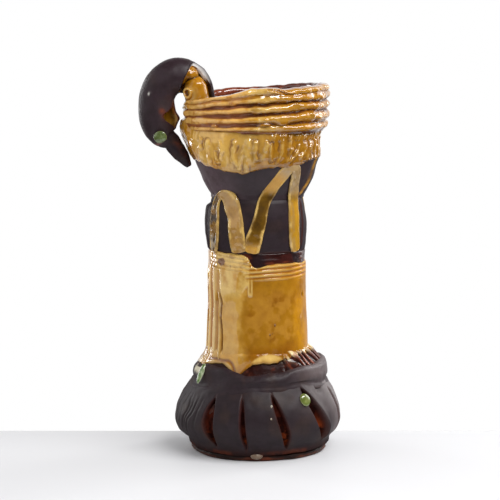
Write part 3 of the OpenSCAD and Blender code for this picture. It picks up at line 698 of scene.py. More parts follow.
def build_skirt():
    a, s, u = grid(720, 46)
    right = span(s, 24, 40, 110, 150)
    left = span(s, -170, -110, -66, -34)
    top = 83 - 1.6 * right + 0.8 * noise(ring_points(38, a, 0), 8, 5)
    low_z = 62 + 6 * right + 3.6 * left
    low_r = 43.8 + 5.2 * right + 2.6 * left
    z = low_z + (top - low_z) * u
    face = stem_face(z)
    reach = low_r - face + 0.3
    r = face + 0.25 + reach * (1 - u) ** (2.3 - 1.1 * right)
    base = ring_points(r, a, z)
    jitter = 0.6 * noise(ring_points(41, a, 0), 9, 7)
    phase = (s - 0.5 * (82 - z)) / 9.6 + jitter
    fin = (0.5 + 0.5 * np.cos(2 * np.pi * phase)) ** 2
    tip = 0.5 + 0.5 * np.cos(4 * np.pi * phase + 0.5)
    tall = (0.1 + 2.9 * right + 0.5 * left) * span(u, 0, 0.12, 0.78, 1)
    r = r + tall * (fin - 0.4) + 0.3 * rough(base, 6, 11) * smooth(1, 0.8, u)
    # drips of glaze stand proud of the skirt
    edge = tabled(a, GLAZE_EDGE) + 0.7 * noise(base * np.array([1, 1, 0]), 4.4, 15)
    edge = edge + 4.2 * right * (fin - 0.5)
    over = smooth(edge - 0.5, edge + 0.6, z)
    r = r + 0.9 * over * smooth(edge + 8, edge + 1.5, z) * smooth(1, 0.85, u) * (1 - 0.4 * right)
    # the rolled edge of the left drip
    roll = path_distance(a, z, 43, [(-60, 73), (-50, 73.6), (-41, 72.9), (-33, 73), (-29, 71.6), (-26, 69),
                                    (-23.8, 65.6), (-22.8, 63.4)])
    r = r - 0.7 * bump(roll, 1.1)
    # dark hollow under the glaze at the front
    r = r - 0.8 * (1 - over) * smooth(edge - 4, edge - 0.6, z) * span(s, -14, -8, 28, 34)
    r = np.maximum(r, face + 0.05 * (1 - u)) - 1.9 * smooth(0.72, 1, u)
    fine = rough(base, 4, 21)
    scallop = span(s, -9, -3, 26, 29) * smooth(79.5, 77.5, z + 0.014 * (s - 13) ** 2)
    amber = coats(
        stem_glaze(base, s, z),
        (CREAM, 0.85 * scallop * smooth(-1.1, -0.2, fine)),
        (CREAM, 0.6 * smooth(-44, -56, s) * smooth(-0.3, 0.5, fine)),
        ((0.62, 0.44, 0.12), 0.6 * smooth(-20, -25, s) * smooth(edge + 3.2, edge + 1.8, z)),
        # the groove along the rolled edge is painted dark brown, a painted shade
        ((0.15, 0.04, 0.008), 0.9 * bump(roll, 1.25)),
        (DEEP, 0.5 * bump(z - edge - 1, 1)),
    )
    rusty = 0.75 * smooth(0.4, 0.95, fin) * right + 0.35 * smooth(0.1, 0.7, fine)
    bare = smooth(-0.3, 0.4, noise(base, 9, 23))
    red = coats(
        (0.02, 0.004, 0.003),
        (RUST, rusty),
        # painted highlights: pink on the bare fin crests, and grey on the far right fins
        ((0.4, 0.17, 0.13), 0.95 * right * bare * smooth(0.6, 1, fin + 0.35 * fine)),
        ((0.16, 0.11, 0.11), 0.7 * smooth(60, 72, s) * right * smooth(0.5, 1, fin)),
        (BLACK_WARM, 0.9 * smooth(-10, -16, s)),
    )
    paint = mix(red, amber, over)
    # pale cream at the fins' tips by the glaze edge, partly glaze, partly a painted highlight
    paint = mix(paint, (0.8, 0.66, 0.36), 0.9 * right * smooth(0.3, 0.75, tip) * bump(z - edge - 0.4, 2))
    points = shell(r, z, a, stem_face(STEM_LOW) - 2.6)
    points[:, -1, 2] = STEM_LOW
    glare = span(s, -12, 0, 34, 44) * smooth(72, 75, z)
    shine = pad(over * (1 - 0.85 * glare) + 0.3 * (1 - over) * right)
    shine[:, -3:] = 0.1
    add_lattice("fluted_skirt", points, pad(paint), AMBER_LOOK, ["stem_skirt"], shine=shine)


def build_neck():
    a, side_a, u = grid(360, 26)
    z = NECK_LOW + NECK_H * u + 0 * a
    base = ring_points(NECK_R, a, z)
    streak = noise(base * np.array([0.25, 0.25, 1]), 1.8, 9)
    r = 36.3 + 0.5 * rough(base, 9, 5) + 0.14 * streak - 1.4 * rounded(u, 0.08)
    s = side_a + 5 * rough(base, 5, 21)
    blob = np.maximum(smooth(15, 3, abs(s)), smooth(9, 3, abs(s - 53)))
    paint = coats(
        OXBLOOD,
        (RUST, 0.8 * smooth(0, 0.8, streak + 0.5 * rough(base, 6, 13))),
        ((0.012, 0.003, 0.003), 0.7 * cloud(base * np.array([0.5, 0.5, 1]), 5, 17, 0.1, 0.6)),
        ((0.016, 0.007, 0.009), 0.9 * blob),
    )
    add_lattice("oxblood_neck", shell(r, z, a, BORE_R), pad(paint), OXBLOOD_LOOK, ["neck_ring"], shine=0.35)


def collar_face(z):
    return 36.6 + 2.4 * np.sin(np.pi * np.clip((z - COLLAR_Z0) / COLLAR_H, 0, 1))


def build_collar():
    a, s, u = grid(400, 84)
    low = 154 + 0.6 * noise(ring_points(37, a, 0), 9, 3)
    z = low + (COLLAR_END - low) * u
    face = collar_face(z)
    base = ring_points(face, a, z)
    r = face + 0.45 * rough(base, 18, 5) + 0.1 * noise(base, 4, 7)
    # the slab's outer end laps over at the right
    lap = span(s, 61.5, 63, 72, 112)
    r = r + 0.5 * lap * smooth(154.5, 160, z)
    r = r - np.interp(z, [156, 165, 176, 184], [0.3, 1.2, 1.8, 2.6]) * span(s, 56, 84, 105, 140)
    r = r - bump(turn(a, 61.6), 1) * smooth(156, 160, z)
    r = r + 0.9 * span(s, -120, -92, -78.5, -76)
    r = r + 0.05 * noise(base * np.array([0.12, 0.12, 1]), 1.6, 8)
    r = r - 1.9 * rounded(u, 0.03) - 1.4 * smooth(192, 197, z)
    r = r - 3 * smooth(187, 190.5, z) * span(s, -130, -110, -78, -60)
    r = np.maximum(r, 33.9)
    paint = mix(BLACK, BLACK_WARM, 0.7 * cloud(base, 11, 13, -0.1, 0.8))
    seam = bump(turn(a, 62.6), 0.7) * smooth(158, 162, z)
    paint = mix(paint, RUST, 0.35 * bump(z - low, 1.2) + 0.4 * seam)
    add_lattice("black_collar", shell(r, z, a, BORE_R), pad(paint), BLACK_LOOK, ["collar_wrap"],
                shine=SLIP_SHEEN)


# Cup

def funnel_face(z):
    return 34.4 + 12.8 * np.clip((z - WAIST_Z) / FUNNEL_H, 0, 1.2) ** 0.85


def build_funnel():
    a, s, u = grid(400, 64)
    z = FUNNEL_LOW + (FUNNEL_END - FUNNEL_LOW) * u + 0 * a
    waist = span(s, -140, -112, -78, -58)
    face = np.maximum(funnel_face(z), 35.6 - 1.5 * waist) + 0.35 * bump(z - 199, 2.5) * (1 - waist)
    base = ring_points(face, a, z)
    r = face + 0.45 * rough(base, 15, 5) + 0.12 * noise(base, 4, 7)
    seam_a = np.interp(z, [196.3, 205.7, 222.9], [62.4, 70.5, 66.8])
    d = arc(a, seam_a, face)
    lap = span(d, -0.5, 0.6, 6, 26)
    r = r + 1.4 * lap * smooth(195.5, 199, z)
    r = r - 0.9 * bump(d + 0.9, 0.7)
    r = r - 2.4 * smooth(208, 222, z) * span(s, 58, 76, 108, 130)
    r = r + 0.8 * span(s, -120, -90, -72, -66) * smooth(214, 206, z)
    paint = FUNNEL_SHEEN_LIFT * mix(BLACK, BLACK_WARM, 0.7 * cloud(base, 10, 13, -0.1, 0.8))
    # painted sheen: purplish grey painted on the funnel's left
    paint = mix(paint, (0.094, 0.058, 0.07), 0.8 * span(s, -150, -110, -50, -5))
    line = bump(d - 0.2, 0.6) * smooth(196, 199, z) * smooth(-0.9, -0.2, noise(base, 5, 19))
    paint = coats(paint, (HONEY, 0.9 * line), (RUST, 0.5 * bump(d + 1.2, 0.7)))
    points = shell(r, z, a, BORE_R)
    points[:, -3:] = ring_points(np.array([43.6, 39, 33.8]), a, np.array([224.2, 209.5, 196]))
    add_lattice("black_funnel", points, pad(paint), BLACK_LOOK, ["funnel_wrap"], shine=1.5 * SLIP_SHEEN)


# Height of the band's lower edge, as (angle, height)
BAND_EDGE = [(-150, 220.5), (-100, 222), (-64, 221.6), (-49, 219), (-28, 215.8), (-13, 215.4), (-4, 217),
             (13, 219.8), (30, 219.4), (41, 220.8), (66, 223), (100, 223.2), (150, 221)]


# Wrinkles pinched into the band at the front, as lines of (angle, height)
WRINKLES = [
    [(-50.5, 241), (-52, 235), (-53.5, 226)],
    [(-43, 239.5), (-43.6, 231), (-44.4, 222)],
    [(-31, 239.5), (-30, 233), (-32, 227)],
    [(-36.5, 231), (-35, 224)],
    [(-18, 239), (-20, 230), (-17.5, 222)],
    [(-9.8, 237), (-13, 229), (-16, 219.5)],
    [(-7, 240), (-9, 232), (-10, 216.5)],
    [(-1.5, 238.5), (-2.4, 231), (-0.5, 226.5)],
    [(8, 238.4), (6, 231), (4.4, 227)],
    [(11.5, 238), (10.6, 232), (12, 226)],
    [(21, 239.5), (20, 231), (16.5, 223)],
    [(29, 240.5), (27.5, 235.5)],
    [(30.5, 233.5), (25, 223)],
    [(38, 236.5), (35, 230), (28.5, 224.5)],
    [(46, 237), (44.6, 232), (40, 227.5)],
    [(55, 238), (50, 230), (47, 225)],
    [(63, 239), (59.5, 230)],
]


def build_band():
    a, s, u = grid(900, 90)
    low = tabled(a, BAND_EDGE) + 0.8 * noise(ring_points(50, a, 0), 4, 3)
    # the band's end stands up as a flap beside the spout
    flap = span(s, -122, -106, -80, -63)
    top = BAND_TOP + 6.4 * flap
    z = low + (top - low) * u
    shape = np.interp(u, [0, 0.12, 0.3, 0.5, 0.7, 0.85, 1], [47.6, 49.9, 51.3, 52.1, 52.4, 52.1, 51])
    shift = -3.6 * np.sin(np.radians(a)) * np.minimum(1, 1.4 * u)
    right_side = span(s, 42, 84, 110, 150)
    face = shape + shift + 2.6 * flap * smooth(0.35, 0.9, u) - 2.6 * right_side * smooth(1, 0.7, u)
    base = ring_points(face, a, z)
    upright = base * np.array([1, 1, 0.3])
    r = face + 0.5 * rough(base, 9, 27)
    # soft upright pleats everywhere, then the thumbed ridges
    pleat = noise(upright, 3.6, 29) + 0.5 * noise(upright, 1.9, 30)
    r = r + 0.34 * pleat * span(u, 0, 0.15, 0.8, 1)
    lines = list(WRINKLES)
    for k in range(24):
        middle = 70 + 8.6 * k + 2.2 * math.sin(2.4 * k)
        tall = 239.5 + 1.6 * math.sin(3.1 * k)
        lines.append([(middle + 2, tall), (middle, 231), (middle - 2.5, 224 + 1.5 * math.cos(1.7 * k))])
    crest = np.zeros_like(r)
    furrow = np.zeros_like(r)
    for k, line in enumerate(lines):
        d = path_distance(a, z, 51, line) + 0.9 * noise(base, 3, 50 + k)
        wide = 2 if k == 6 else 1.35 + 0.35 * math.sin(1.9 * k)
        crest = np.maximum(crest, bump(d, wide))
        furrow = np.maximum(furrow, bump(d - wide - 0.9, 0.8))
    furrow = furrow * (1 - crest) * smooth(-0.2, 0.6, noise(base, 5, 90))
    r = r + 1.2 * crest - 0.9 * furrow
    # slanted nicks along the upper edge at the right
    nick = np.zeros_like(r)
    for k in range(16):
        start = 14 + 5.2 * k + 1.4 * math.sin(2 * k)
        d = path_distance(a, z, 52, [(start + 3 + 0.05 * k, 247.4), (start - 1.5, 240.6)])
        nick = np.maximum(nick, bump(d, 0.95))
    r = r + nick + 0.5 * span(s, 8, 20, 90, 105) * bump(z - 244, 3)
    r = r - 2.4 * rounded(u, 0.05)
    r = r + 0.9 * flap * rough(base, 8, 33)
    fine = rough(base, 3.2, 41)
    right = span(s, 0, 34, 100, 150)
    paint = mix(AMBER, HONEY, (0.75 - 0.5 * right) * cloud(base, 10, 37, -0.5, 0.4))
    pale = span(s, -70, -54, -8, 16) * smooth(-0.9, 0.1, rough(base, 8, 39) + 0.5 * (u - 0.3))
    paint = coats(
        paint,
        ((0.57, 0.355, 0.085), 0.75 * pale),
        (DEEP, 0.5 * right * cloud(base, 7, 45, 0, 0.6) + 0.25 * smooth(0.25, 0.05, u)),
        ((0.34, 0.15, 0.006), 0.55 * smooth(0, -0.9, pleat) * (1 - 0.4 * pale)),
        (CREAM, 0.4 * smooth(0.2, 1, pleat) * (1 - 0.8 * right)),
        (CREAM, (0.8 - 0.35 * right) * np.maximum(crest, 0.8 * nick) ** 1.4 * smooth(-0.6, 0.4, fine)),
        ((0.2, 0.08, 0.022), (0.8 + 0.1 * right) * furrow),
        ((0.3, 0.125, 0.004), 0.55 * right * (1 - crest) * smooth(0.6, -0.4, fine)),
    )
    dark_run = cloud(base, 8, 48, 0.35, 0.7) * span(s, -34, -22, 26, 36)
    paint = coats(
        paint,
        (MAUVE, 0.7 * dark_run * smooth(0.3, 0.12, u)),
        ((0.26, 0.12, 0.012), 0.6 * flap * cloud(base, 7, 49, -0.4, 0.4)),
        ((0.1, 0.04, 0.02), 0.75 * flap * smooth(0.3, 0.1, u)),
        # darker along the lower edge, and along the top edge a painted shadow under the coils
        (DEEP, 0.6 * smooth(0.06, 0, u) + 0.35 * smooth(0.94, 1, u)),
    )
    # painted light: the band is painted lighter at the left and darker at the right
    tone = 1.28 - 0.44 * span(s, -36, 0, 100, 150)
    paint = paint * tone[..., None]
    points = shell(r, z, a, BORE_R)
    points[:, -3:-2] = ring_points(r[:, -1:] - 2.2, a, top - 0.3)
    points[:, -2:-1] = ring_points(47.2 - 0.6 * flap, a, 243)
    points[:, -1:] = ring_points(46.6, a, low + 0.9)
    add_lattice("thumbed_band", points, pad(paint), AMBER_LOOK, ["fluted_band"])


# CAD nodes that the coils replace, from the lowest to the lip
COIL_NODES = ["rim_coil_1", "rim_coil_2", "rim_coil_3", "rim_coil_4", "rim_lip"]
# Heights of the joints between the rim's coils and of the rim's edge, as (angle, height)
RIM_JOINTS = [
    [(0, 245.8)],
    [(-90, 250.2), (-43, 249.8), (-12, 251.2), (10, 251.8), (36, 252.8), (70, 253.2), (120, 253),
     (180, 252.4), (230, 251.2)],
    [(-90, 254.6), (-43, 256.9), (-12, 258.3), (10, 259.6), (36, 261.4), (70, 261.2), (120, 260),
     (180, 259), (230, 256.8)],
    [(-90, 259.4), (-43, 262.8), (-12, 265.6), (10, 267.2), (36, 269), (70, 268.6), (120, 267),
     (180, 265.4), (230, 262.4)],
    [(-90, 263.6), (-43, 267.4), (-12, 271.4), (10, 273.2), (36, 274.4), (70, 274.8), (120, 273.4),
     (180, 270.6), (230, 267.2)],
    [(-90, 267.4), (-75, 268.6), (-56, 269.7), (-35, 272.6), (-22, 274.4), (-12, 276.8), (-5, 279),
     (8, 279.3), (23, 278.3), (36, 279), (50, 279.9), (70, 280.5), (90, 280.4), (120, 279.4), (135, 278.9),
     (150, 277.6), (165, 276.2), (180, 275.2), (205, 274.9), (235, 272)],
]


def joint_z(i, a):
    """Height of a joint between coils, uneven apart from the lowest and the rim's edge."""
    z = tabled(a, RIM_JOINTS[i])
    if 0 < i < len(COIL_NODES):
        line = ring_points(50, a, 17 * i)
        z = z + 1.1 * rough(line, 13, 31 + i) + 0.45 * noise(line, 5, 37 + i)
    return z


# Places where the glaze has run together between the coils: angle, height, reach round, reach up
POOLS = [(19.3, 254.6, 5.5, 3.6), (-1.3, 263.2, 4.5, 3.2), (6, 251.4, 5.5, 2.6), (-36.3, 249.8, 3.2, 3.2),
         (31, 266, 4, 2.4), (-20, 268, 4, 2.6), (47, 258, 3.6, 2.6)]


def build_coil(i):
    a = around(620)
    s = turn(a)
    z0, z1 = joint_z(i, a), joint_z(i + 1, a)
    lip = i == len(COIL_NODES) - 1
    under_lip = i == len(COIL_NODES) - 2
    if lip:
        z1 = z1 + 0.55 * rough(ring_points(50, a, 0), 7, 5)
        z1 = z1 - 2.4 * near(a, 270, 13, 20)
    out_r = 56.4 + 1.1 * rough(ring_points(52, a, 13 * i), 10, 7 + i)
    out_r = out_r - (1.2 if i == 0 else 0) - (0.3 if lip else 0) - 1.4 * near(a, 90, 10, 60)
    in_r = (46 if lip else 43.4) + 0.6 * rough(ring_points(44, a, 9 * i), 10, 17 + i)
    v = np.linspace(0, 1, 30)[None, :]
    # crest narrow over a wide recess at the left, full at the right, pressed flat beside the spout
    full = smooth(-16, 26, s) * smooth(250, 170, a % 360)
    pressed = near(a, 272, 30, 52)[:, None]
    peak = (0.58 - 0.04 * full)[:, None]
    wide = (0.24 + 0.11 * full)[:, None] + 0.1 * pressed
    hill = np.exp(-(np.abs(v - peak) / (wide * np.where(v > peak, 1.15, 1))) ** 2.6)
    over = 0.5
    z_out = (z0 - over)[:, None] + (z1 - z0 + (over if lip else 2 * over))[:, None] * v
    pooled = np.zeros_like(z_out)
    for pool_a, pool_z, round_by, up_by in POOLS:
        far = np.hypot(arc(a, pool_a, RIM_R)[:, None] / round_by, (z_out - pool_z) / up_by)
        pooled = np.maximum(pooled, smooth(1.3, 0.5, far))
    deep = (3.5 - 2.2 * pressed) * (1 - 0.75 * pooled)
    # the last two coils meet in a shallow joint
    if under_lip:
        deep = np.where(v > peak, 1.3, deep)
    if lip:
        deep = np.where(v > peak, 5.2, 1.3)
        hill = np.where(v > peak, np.sqrt(np.clip(1 - ((v - peak) / (1 - peak)) ** 3, 0, 1)), hill)
    r_out = out_r[:, None] - deep * (1 - hill)
    g = np.linspace(0.5, 1.5, 13)[None, 1:-1] * np.pi
    mid_z, half_h = 0.5 * (z0 + z1), 0.5 * (z1 - z0)
    mid_r = in_r + 3.4
    r_in = mid_r[:, None] + (mid_r - in_r)[:, None] * np.cos(g) * (1 + 0 * z0[:, None])
    z_in = mid_z[:, None] + (half_h + 0.3)[:, None] * np.sin(g)
    r = beside(r_out, r_in)
    z = beside(z_out, z_in)
    base = ring_points(r, a[:, None], z)
    none = 0 * r_in
    outer = beside(1 + 0 * r_out, none)
    hill = beside(hill, none)
    pooled = beside(pooled, none)
    r = r + outer * (rough(base, 7.5, 23 + i) + 0.08 * noise(base, 2.6, 29 + i)) * (0.35 + 0.65 * hill)
    crease = path_distance(a[:, None], z, RIM_R, [(8, 278.8), (16, 277.2), (24, 274.4), (30, 273.8)])
    if lip:
        r = r - 0.9 * outer * bump(crease, 0.7) + 0.5 * outer * bump(crease - 1.7, 0.9)
    points = ring_points(r, a[:, None], z)
    side = s[:, None]
    right = span(side, -2, 26, 110, 160)
    fine = rough(base, 4, 51 + i)
    paint = mix(AMBER, HONEY, 0.8 * (1 - 0.8 * right) * cloud(base, 9, 43 + i, -0.5, 0.4))
    paint = coats(
        paint,
        (CREAM, (0.9 - 0.8 * right) * smooth(0.2 + 0.2 * right, 0.8, hill) * smooth(-0.9, 0.1, fine)),
        ((0.3, 0.12, 0.003), 0.7 * right * smooth(1, 0.6, hill) * smooth(0.5, -0.3, fine)),
    )
    low = smooth(0.7, 0.3, hill) * outer * (1 - 0.85 * pooled)
    rows = v.shape[1]
    if lip:
        low[:, :rows] *= np.where(v < 0.5, 0.25, np.where(v > 0.6, 0, 1))
    if under_lip:
        low[:, :rows] *= np.where(v < 0.5, 1, 0.25)
    paint = mix(paint, DEEP, 0.95 * low)
    run = smooth(-0.7, -0.1, noise(ring_points(52, a, 21 * i), 17, 61)[:, None])
    left_run = span(side, -84, -70, -20, 2)
    groove = mix((0.1, 0.027, 0.006), (0.27, 0.11, 0.052), left_run)
    paint = coats(
        paint,
        (groove, 0.95 * low * np.maximum(left_run, run) * (1 - 0.6 * pressed)),
        ((0.3, 0.14, 0.012), 0.6 * pooled * outer * smooth(-0.4, 0.3, fine)),
    )
    if lip:
        paint = mix(paint, DEEP, 0.8 * outer * bump(crease, 0.8))
    brown = mix(CUP_BROWN, RUST, cloud(base, 7, 71, -0.2, 0.6))
    brown = mix(brown, (0.05, 0.012, 0.008), 0.7 * smooth(60, 110, side) * smooth(0.6, -0.2, fine))
    # painted light: the coils are painted brighter at the left
    paint = paint * (1 + left_run[..., None] * np.array([0.16, 0.02, -0.04]))
    paint = mix(paint, brown, smooth(52.5, 49.5, r))
    add_lattice("rim_coil_visual_%d" % (i + 1), points, paint, AMBER_LOOK, [COIL_NODES[i]])


def bowl_face(z):
    low = 33 + 10 * np.clip((z - WAIST_Z) / FUNNEL_H, 0, 1) ** 0.85
    high = 43 + 3.5 * np.sin(np.pi / 2 * np.clip((z - FUNNEL_TOP) / 25, 0, 1))
    return np.where(z < FUNNEL_TOP, low, high)


def build_bowl():
    a = around(260)[:, None]
    z = np.linspace(BOWL_LOW, BOWL_TOP, 70)[None, :] + 0 * a
    inner = bowl_face(z) - 4.5
    base = ring_points(inner, a, z)
    rings = 0.3 * np.cos(2 * np.pi * (z + a / 120) / 3)
    inner = inner + rings + 0.35 * rough(base, 11, 3)
    outer = bowl_face(z[:, ::-1]) - 0.3
    r = beside(inner, outer)
    zz = beside(z, z[:, ::-1])
    paint = mix(CUP_BROWN, RUST, cloud(base, 10, 5, -0.3, 0.6))
    paint = mix(paint, OXBLOOD, 0.5 * cloud(base, 16, 9, 0, 0.7))
    paint = beside(paint, paint[:, ::-1])
    add_lattice("brown_bowl", ring_points(r, a, zz), paint, CUP_LOOK, ["cup_bowl"])


# Zigzag strips: each arch's path over collar and funnel as (angle, height, half width)

BACK_ARCH = [(114, 154.4, 4.7), (117, 172, 4.9), (121, 195, 4.6), (130, 201, 4.2), (139, 195, 4.6),
             (143, 172, 4.8), (146, 154.4, 4.7)]
STRIPS = [
    [(-63, 154.8, 5.4), (-59.6, 160.3, 5.7), (-56.8, 167, 5.7), (-55.8, 173.5, 5.6), (-55.6, 180, 5.3),
     (-55.8, 186, 4.9), (-54.8, 191.4, 3.9), (-51.6, 195.6, 3.2), (-46, 197.8, 3.5), (-39, 197, 5.8),
     (-33, 193.2, 7.4), (-28.6, 187, 7.4), (-25.4, 180.7, 6.8), (-24.5, 174, 6.9), (-23.8, 167, 7),
     (-22.6, 161, 6.7), (-21.4, 155.4, 6.2)],
    [(-7.4, 155.4, 6), (-5.4, 161.2, 6.2), (-2.9, 167.8, 6.1), (0.3, 174.4, 5.7), (2.9, 181, 5.3),
     (5, 187.6, 5), (8.1, 194.2, 4.9), (13.6, 200.7, 5), (19, 207.4, 5), (24.5, 213.8, 5), (28.4, 218, 4.6),
     (32.6, 220.2, 4), (37.4, 218.6, 4.8), (40.6, 213.4, 5.2), (43.5, 206.5, 5.2), (46.2, 200, 5.3),
     (46.6, 193, 5.4), (45, 180, 5.5), (45.8, 168, 5.5), (48.4, 161, 5.5), (50.8, 155.6, 5.5)],
    BACK_ARCH,
    [(163, 154.4, 4.7), (166.6, 178, 4.9), (171.6, 210, 4.6), (180, 218, 4.2), (188.4, 210, 4.6),
     (193.4, 178, 4.8), (197, 154.4, 4.7)],
    [(angle + 100, height, half) for angle, height, half in BACK_ARCH],
]


def bed(z):
    """Radius of the collar and funnel under the strips, with the waist bridged."""
    knots = curve([(150, 37), (154.2, 37.1), (160, 37.9), (166, 38.7), (174, 39.2), (183, 38.7),
                   (191, 37.6), (196, 37.2), (200, 37.7), (205, 39.5), (211, 42.7), (217, 46.1),
                   (222, 48.4)], 6)
    return np.interp(z, knots[:, 0], knots[:, 1])


def build_strip(k):
    path = curve(STRIPS[k], 12)
    n = len(path)
    a, z, half = path[:, 0], path[:, 1], path[:, 2]
    line = ring_points(bed(z), a, z)
    along = unit(np.gradient(line, axis=0))
    straight = ring_points(1, a, 0)
    out = unit(straight - along * np.einsum("ij,ij->i", straight, along)[:, None])
    wide = np.cross(out, along)
    u = np.linspace(0, 1, n)
    end = np.clip(1 - np.minimum(u, 1 - u) / 0.02, 0, 1)
    half = half * (1 + 0.1 * rough(line, 9, 3 + k)) * np.sqrt(np.clip(1 - end ** 2, 0.12, 1))
    top = np.linspace(-1, 1, 27)
    dome = np.clip(1 - top ** 2, 0, 1) ** 0.3
    thick = 1.5 + 0.3 * rough(line, 7, 9 + k)
    # edges swell where the glaze gathers
    height = thick[:, None] * (dome * (0.7 + 0.36 * bump(abs(top) - 0.78, 0.16)))[None, :]
    across = half[:, None] * top[None, :]
    sag = across ** 2 / (2 * bed(z)[:, None])
    face = line[:, None] + wide[:, None] * across[..., None]
    face = face + out[:, None] * (height + 0.05 - sag)[..., None]
    face = face + out[:, None] * (0.25 * rough(face, 5, 21 + k) + 0.1 * noise(face, 2.4, 27 + k))[..., None]
    hidden = 5
    back_top = np.linspace(0.9, -0.9, hidden)
    back_across = half[:, None] * back_top[None, :]
    back = line[:, None] + wide[:, None] * back_across[..., None]
    back = back - out[:, None] * (0.6 + back_across ** 2 / (2 * bed(z)[:, None]))[..., None]
    points = beside(face, back)
    z_here = face[..., 2]
    fine = rough(face, 4, 31 + k)
    blotch = rough(face, 9, 37 + k)
    thin = 0.12 * (k % 2)
    middle = smooth(0.84 + thin, 0.5 + thin, abs(top)[None, :] + 0.2 * fine)
    up_leg = smooth(0.5, 0.42, u)[:, None] + 0 * z_here
    tan = mix((0.43, 0.235, 0.055), (0.37, 0.215, 0.066), smooth(-0.4, 0.4, blotch))
    if k % 2 == 0:
        # a sooty first leg, then a broad pale one with an amber pool near its top
        darkened = mix((0.045, 0.027, 0.014), (0.2, 0.095, 0.008), smooth(-0.2, 0.3, blotch))
        first = mix(darkened, (0.33, 0.25, 0.16), smooth(171, 164, z_here) * smooth(-0.5, 0.3, fine))
        pool = np.hypot((a + 27.6)[:, None], 0.35 * (z_here - 190)) + 3 * abs(top + 0.2)[None, :]
        second = mix(tan, (0.3, 0.145, 0.01), 0.8 * smooth(5, 2.4, pool))
        second = mix(second, (0.36, 0.2, 0.05), 0.6 * bump(z_here - 168, 9))
    else:
        # a thin olive first leg that pales towards its top, then an amber one
        olive = mix((0.12, 0.058, 0.004), (0.07, 0.034, 0.004), smooth(-0.3, 0.5, blotch))
        olive = mix(olive, (0.2, 0.095, 0.006), 0.7 * smooth(176, 166, z_here))
        ends = np.maximum(smooth(197, 205, z_here), smooth(165, 158, z_here))
        first = mix(olive, (0.5, 0.27, 0.05), ends)
        dusty = smooth(0.15, -0.35, top)[None, :] * smooth(-0.6, 0.2, fine)
        amber = mix((0.44, 0.225, 0.01), (0.33, 0.2, 0.06), 0.7 * dusty)
        second = mix(amber, (0.37, 0.25, 0.115), smooth(194, 203, z_here))
        second = mix(second, (0.16, 0.09, 0.02), 0.6 * bump(z_here - 196, 2.6))
    paint = mix(second, first, up_leg)
    edge_tone = mix((0.38, 0.235, 0.075), CREAM, smooth(-0.3, 0.5, fine))
    paint = mix(edge_tone, paint, middle)
    legs = ["zigzag_strip_%02d" % (2 * k + 1), "zigzag_strip_%02d" % (2 * k + 2)]
    shine = pad(0.9 - 0.5 * up_leg, hidden)
    shine[:, -hidden:] = 0.4
    add_lattice("zigzag_visual_%d" % (k + 1), points, pad(paint, hidden), AMBER_LOOK, legs,
                capped=True, shine=shine)


# Spout: places are (across from the rim's middle, up from the seat)

def arch_line(places):
    """Points in the middle plane from places on the arch."""
    p = np.asarray(places, dtype=float)
    return np.stack([-RIM_MID_R + p[:, 0], 0 * p[:, 0], SEAT_Z + 0.4 + p[:, 1]], axis=-1)


def arch_out(line):
    """The way out of the arch at each place, square to its run."""
    run = unit(np.gradient(line, axis=0))
    return np.stack([run[:, 2], 0 * run[:, 0], -run[:, 0]], axis=-1)


# Hood, beak and tube: place across and up, half height and half width of the section
HOOD = [
    (7, -1.5, 11.8, 11),
    (6.4, 6.8, 11, 11),
    (4.2, 13.6, 12, 11.4),
    (-1.6, 19.3, 13.4, 12),
    (-10.6, 22, 14.2, 12.6),
    (-19.9, 17.2, 13.8, 13),
    (-25.7, 7.1, 13.9, 13.2),
    (-26.1, -5, 14.2, 13.2),
    (-24.8, -14.6, 13.6, 12.2),
    (-21.9, -22.4, 11, 10.2),
    (-19.4, -26, 7.8, 7.6),
    (-16.4, -28.2, 5.6, 5.4),
]
# Front edge and back edge of the hood's slab by place, as angles from the arch's outside
HOOD_FRONT = [(0, -12), (2.9, -14), (3.3, -22), (3.36, -60), (3.41, -110), (3.46, -152), (4.2, -162),
              (5.6, -164), (6.7, -156), (6.95, -138), (7.12, -119), (7.36, -113), (7.8, -121), (8.2, -134),
              (8.6, -150), (8.95, -165), (9.4, -174), (11, -177)]
HOOD_BACK = [(0, 158), (3, 162), (5, 167), (6.4, 166), (7.4, 172), (8.4, 172), (10, 176), (11, 177)]


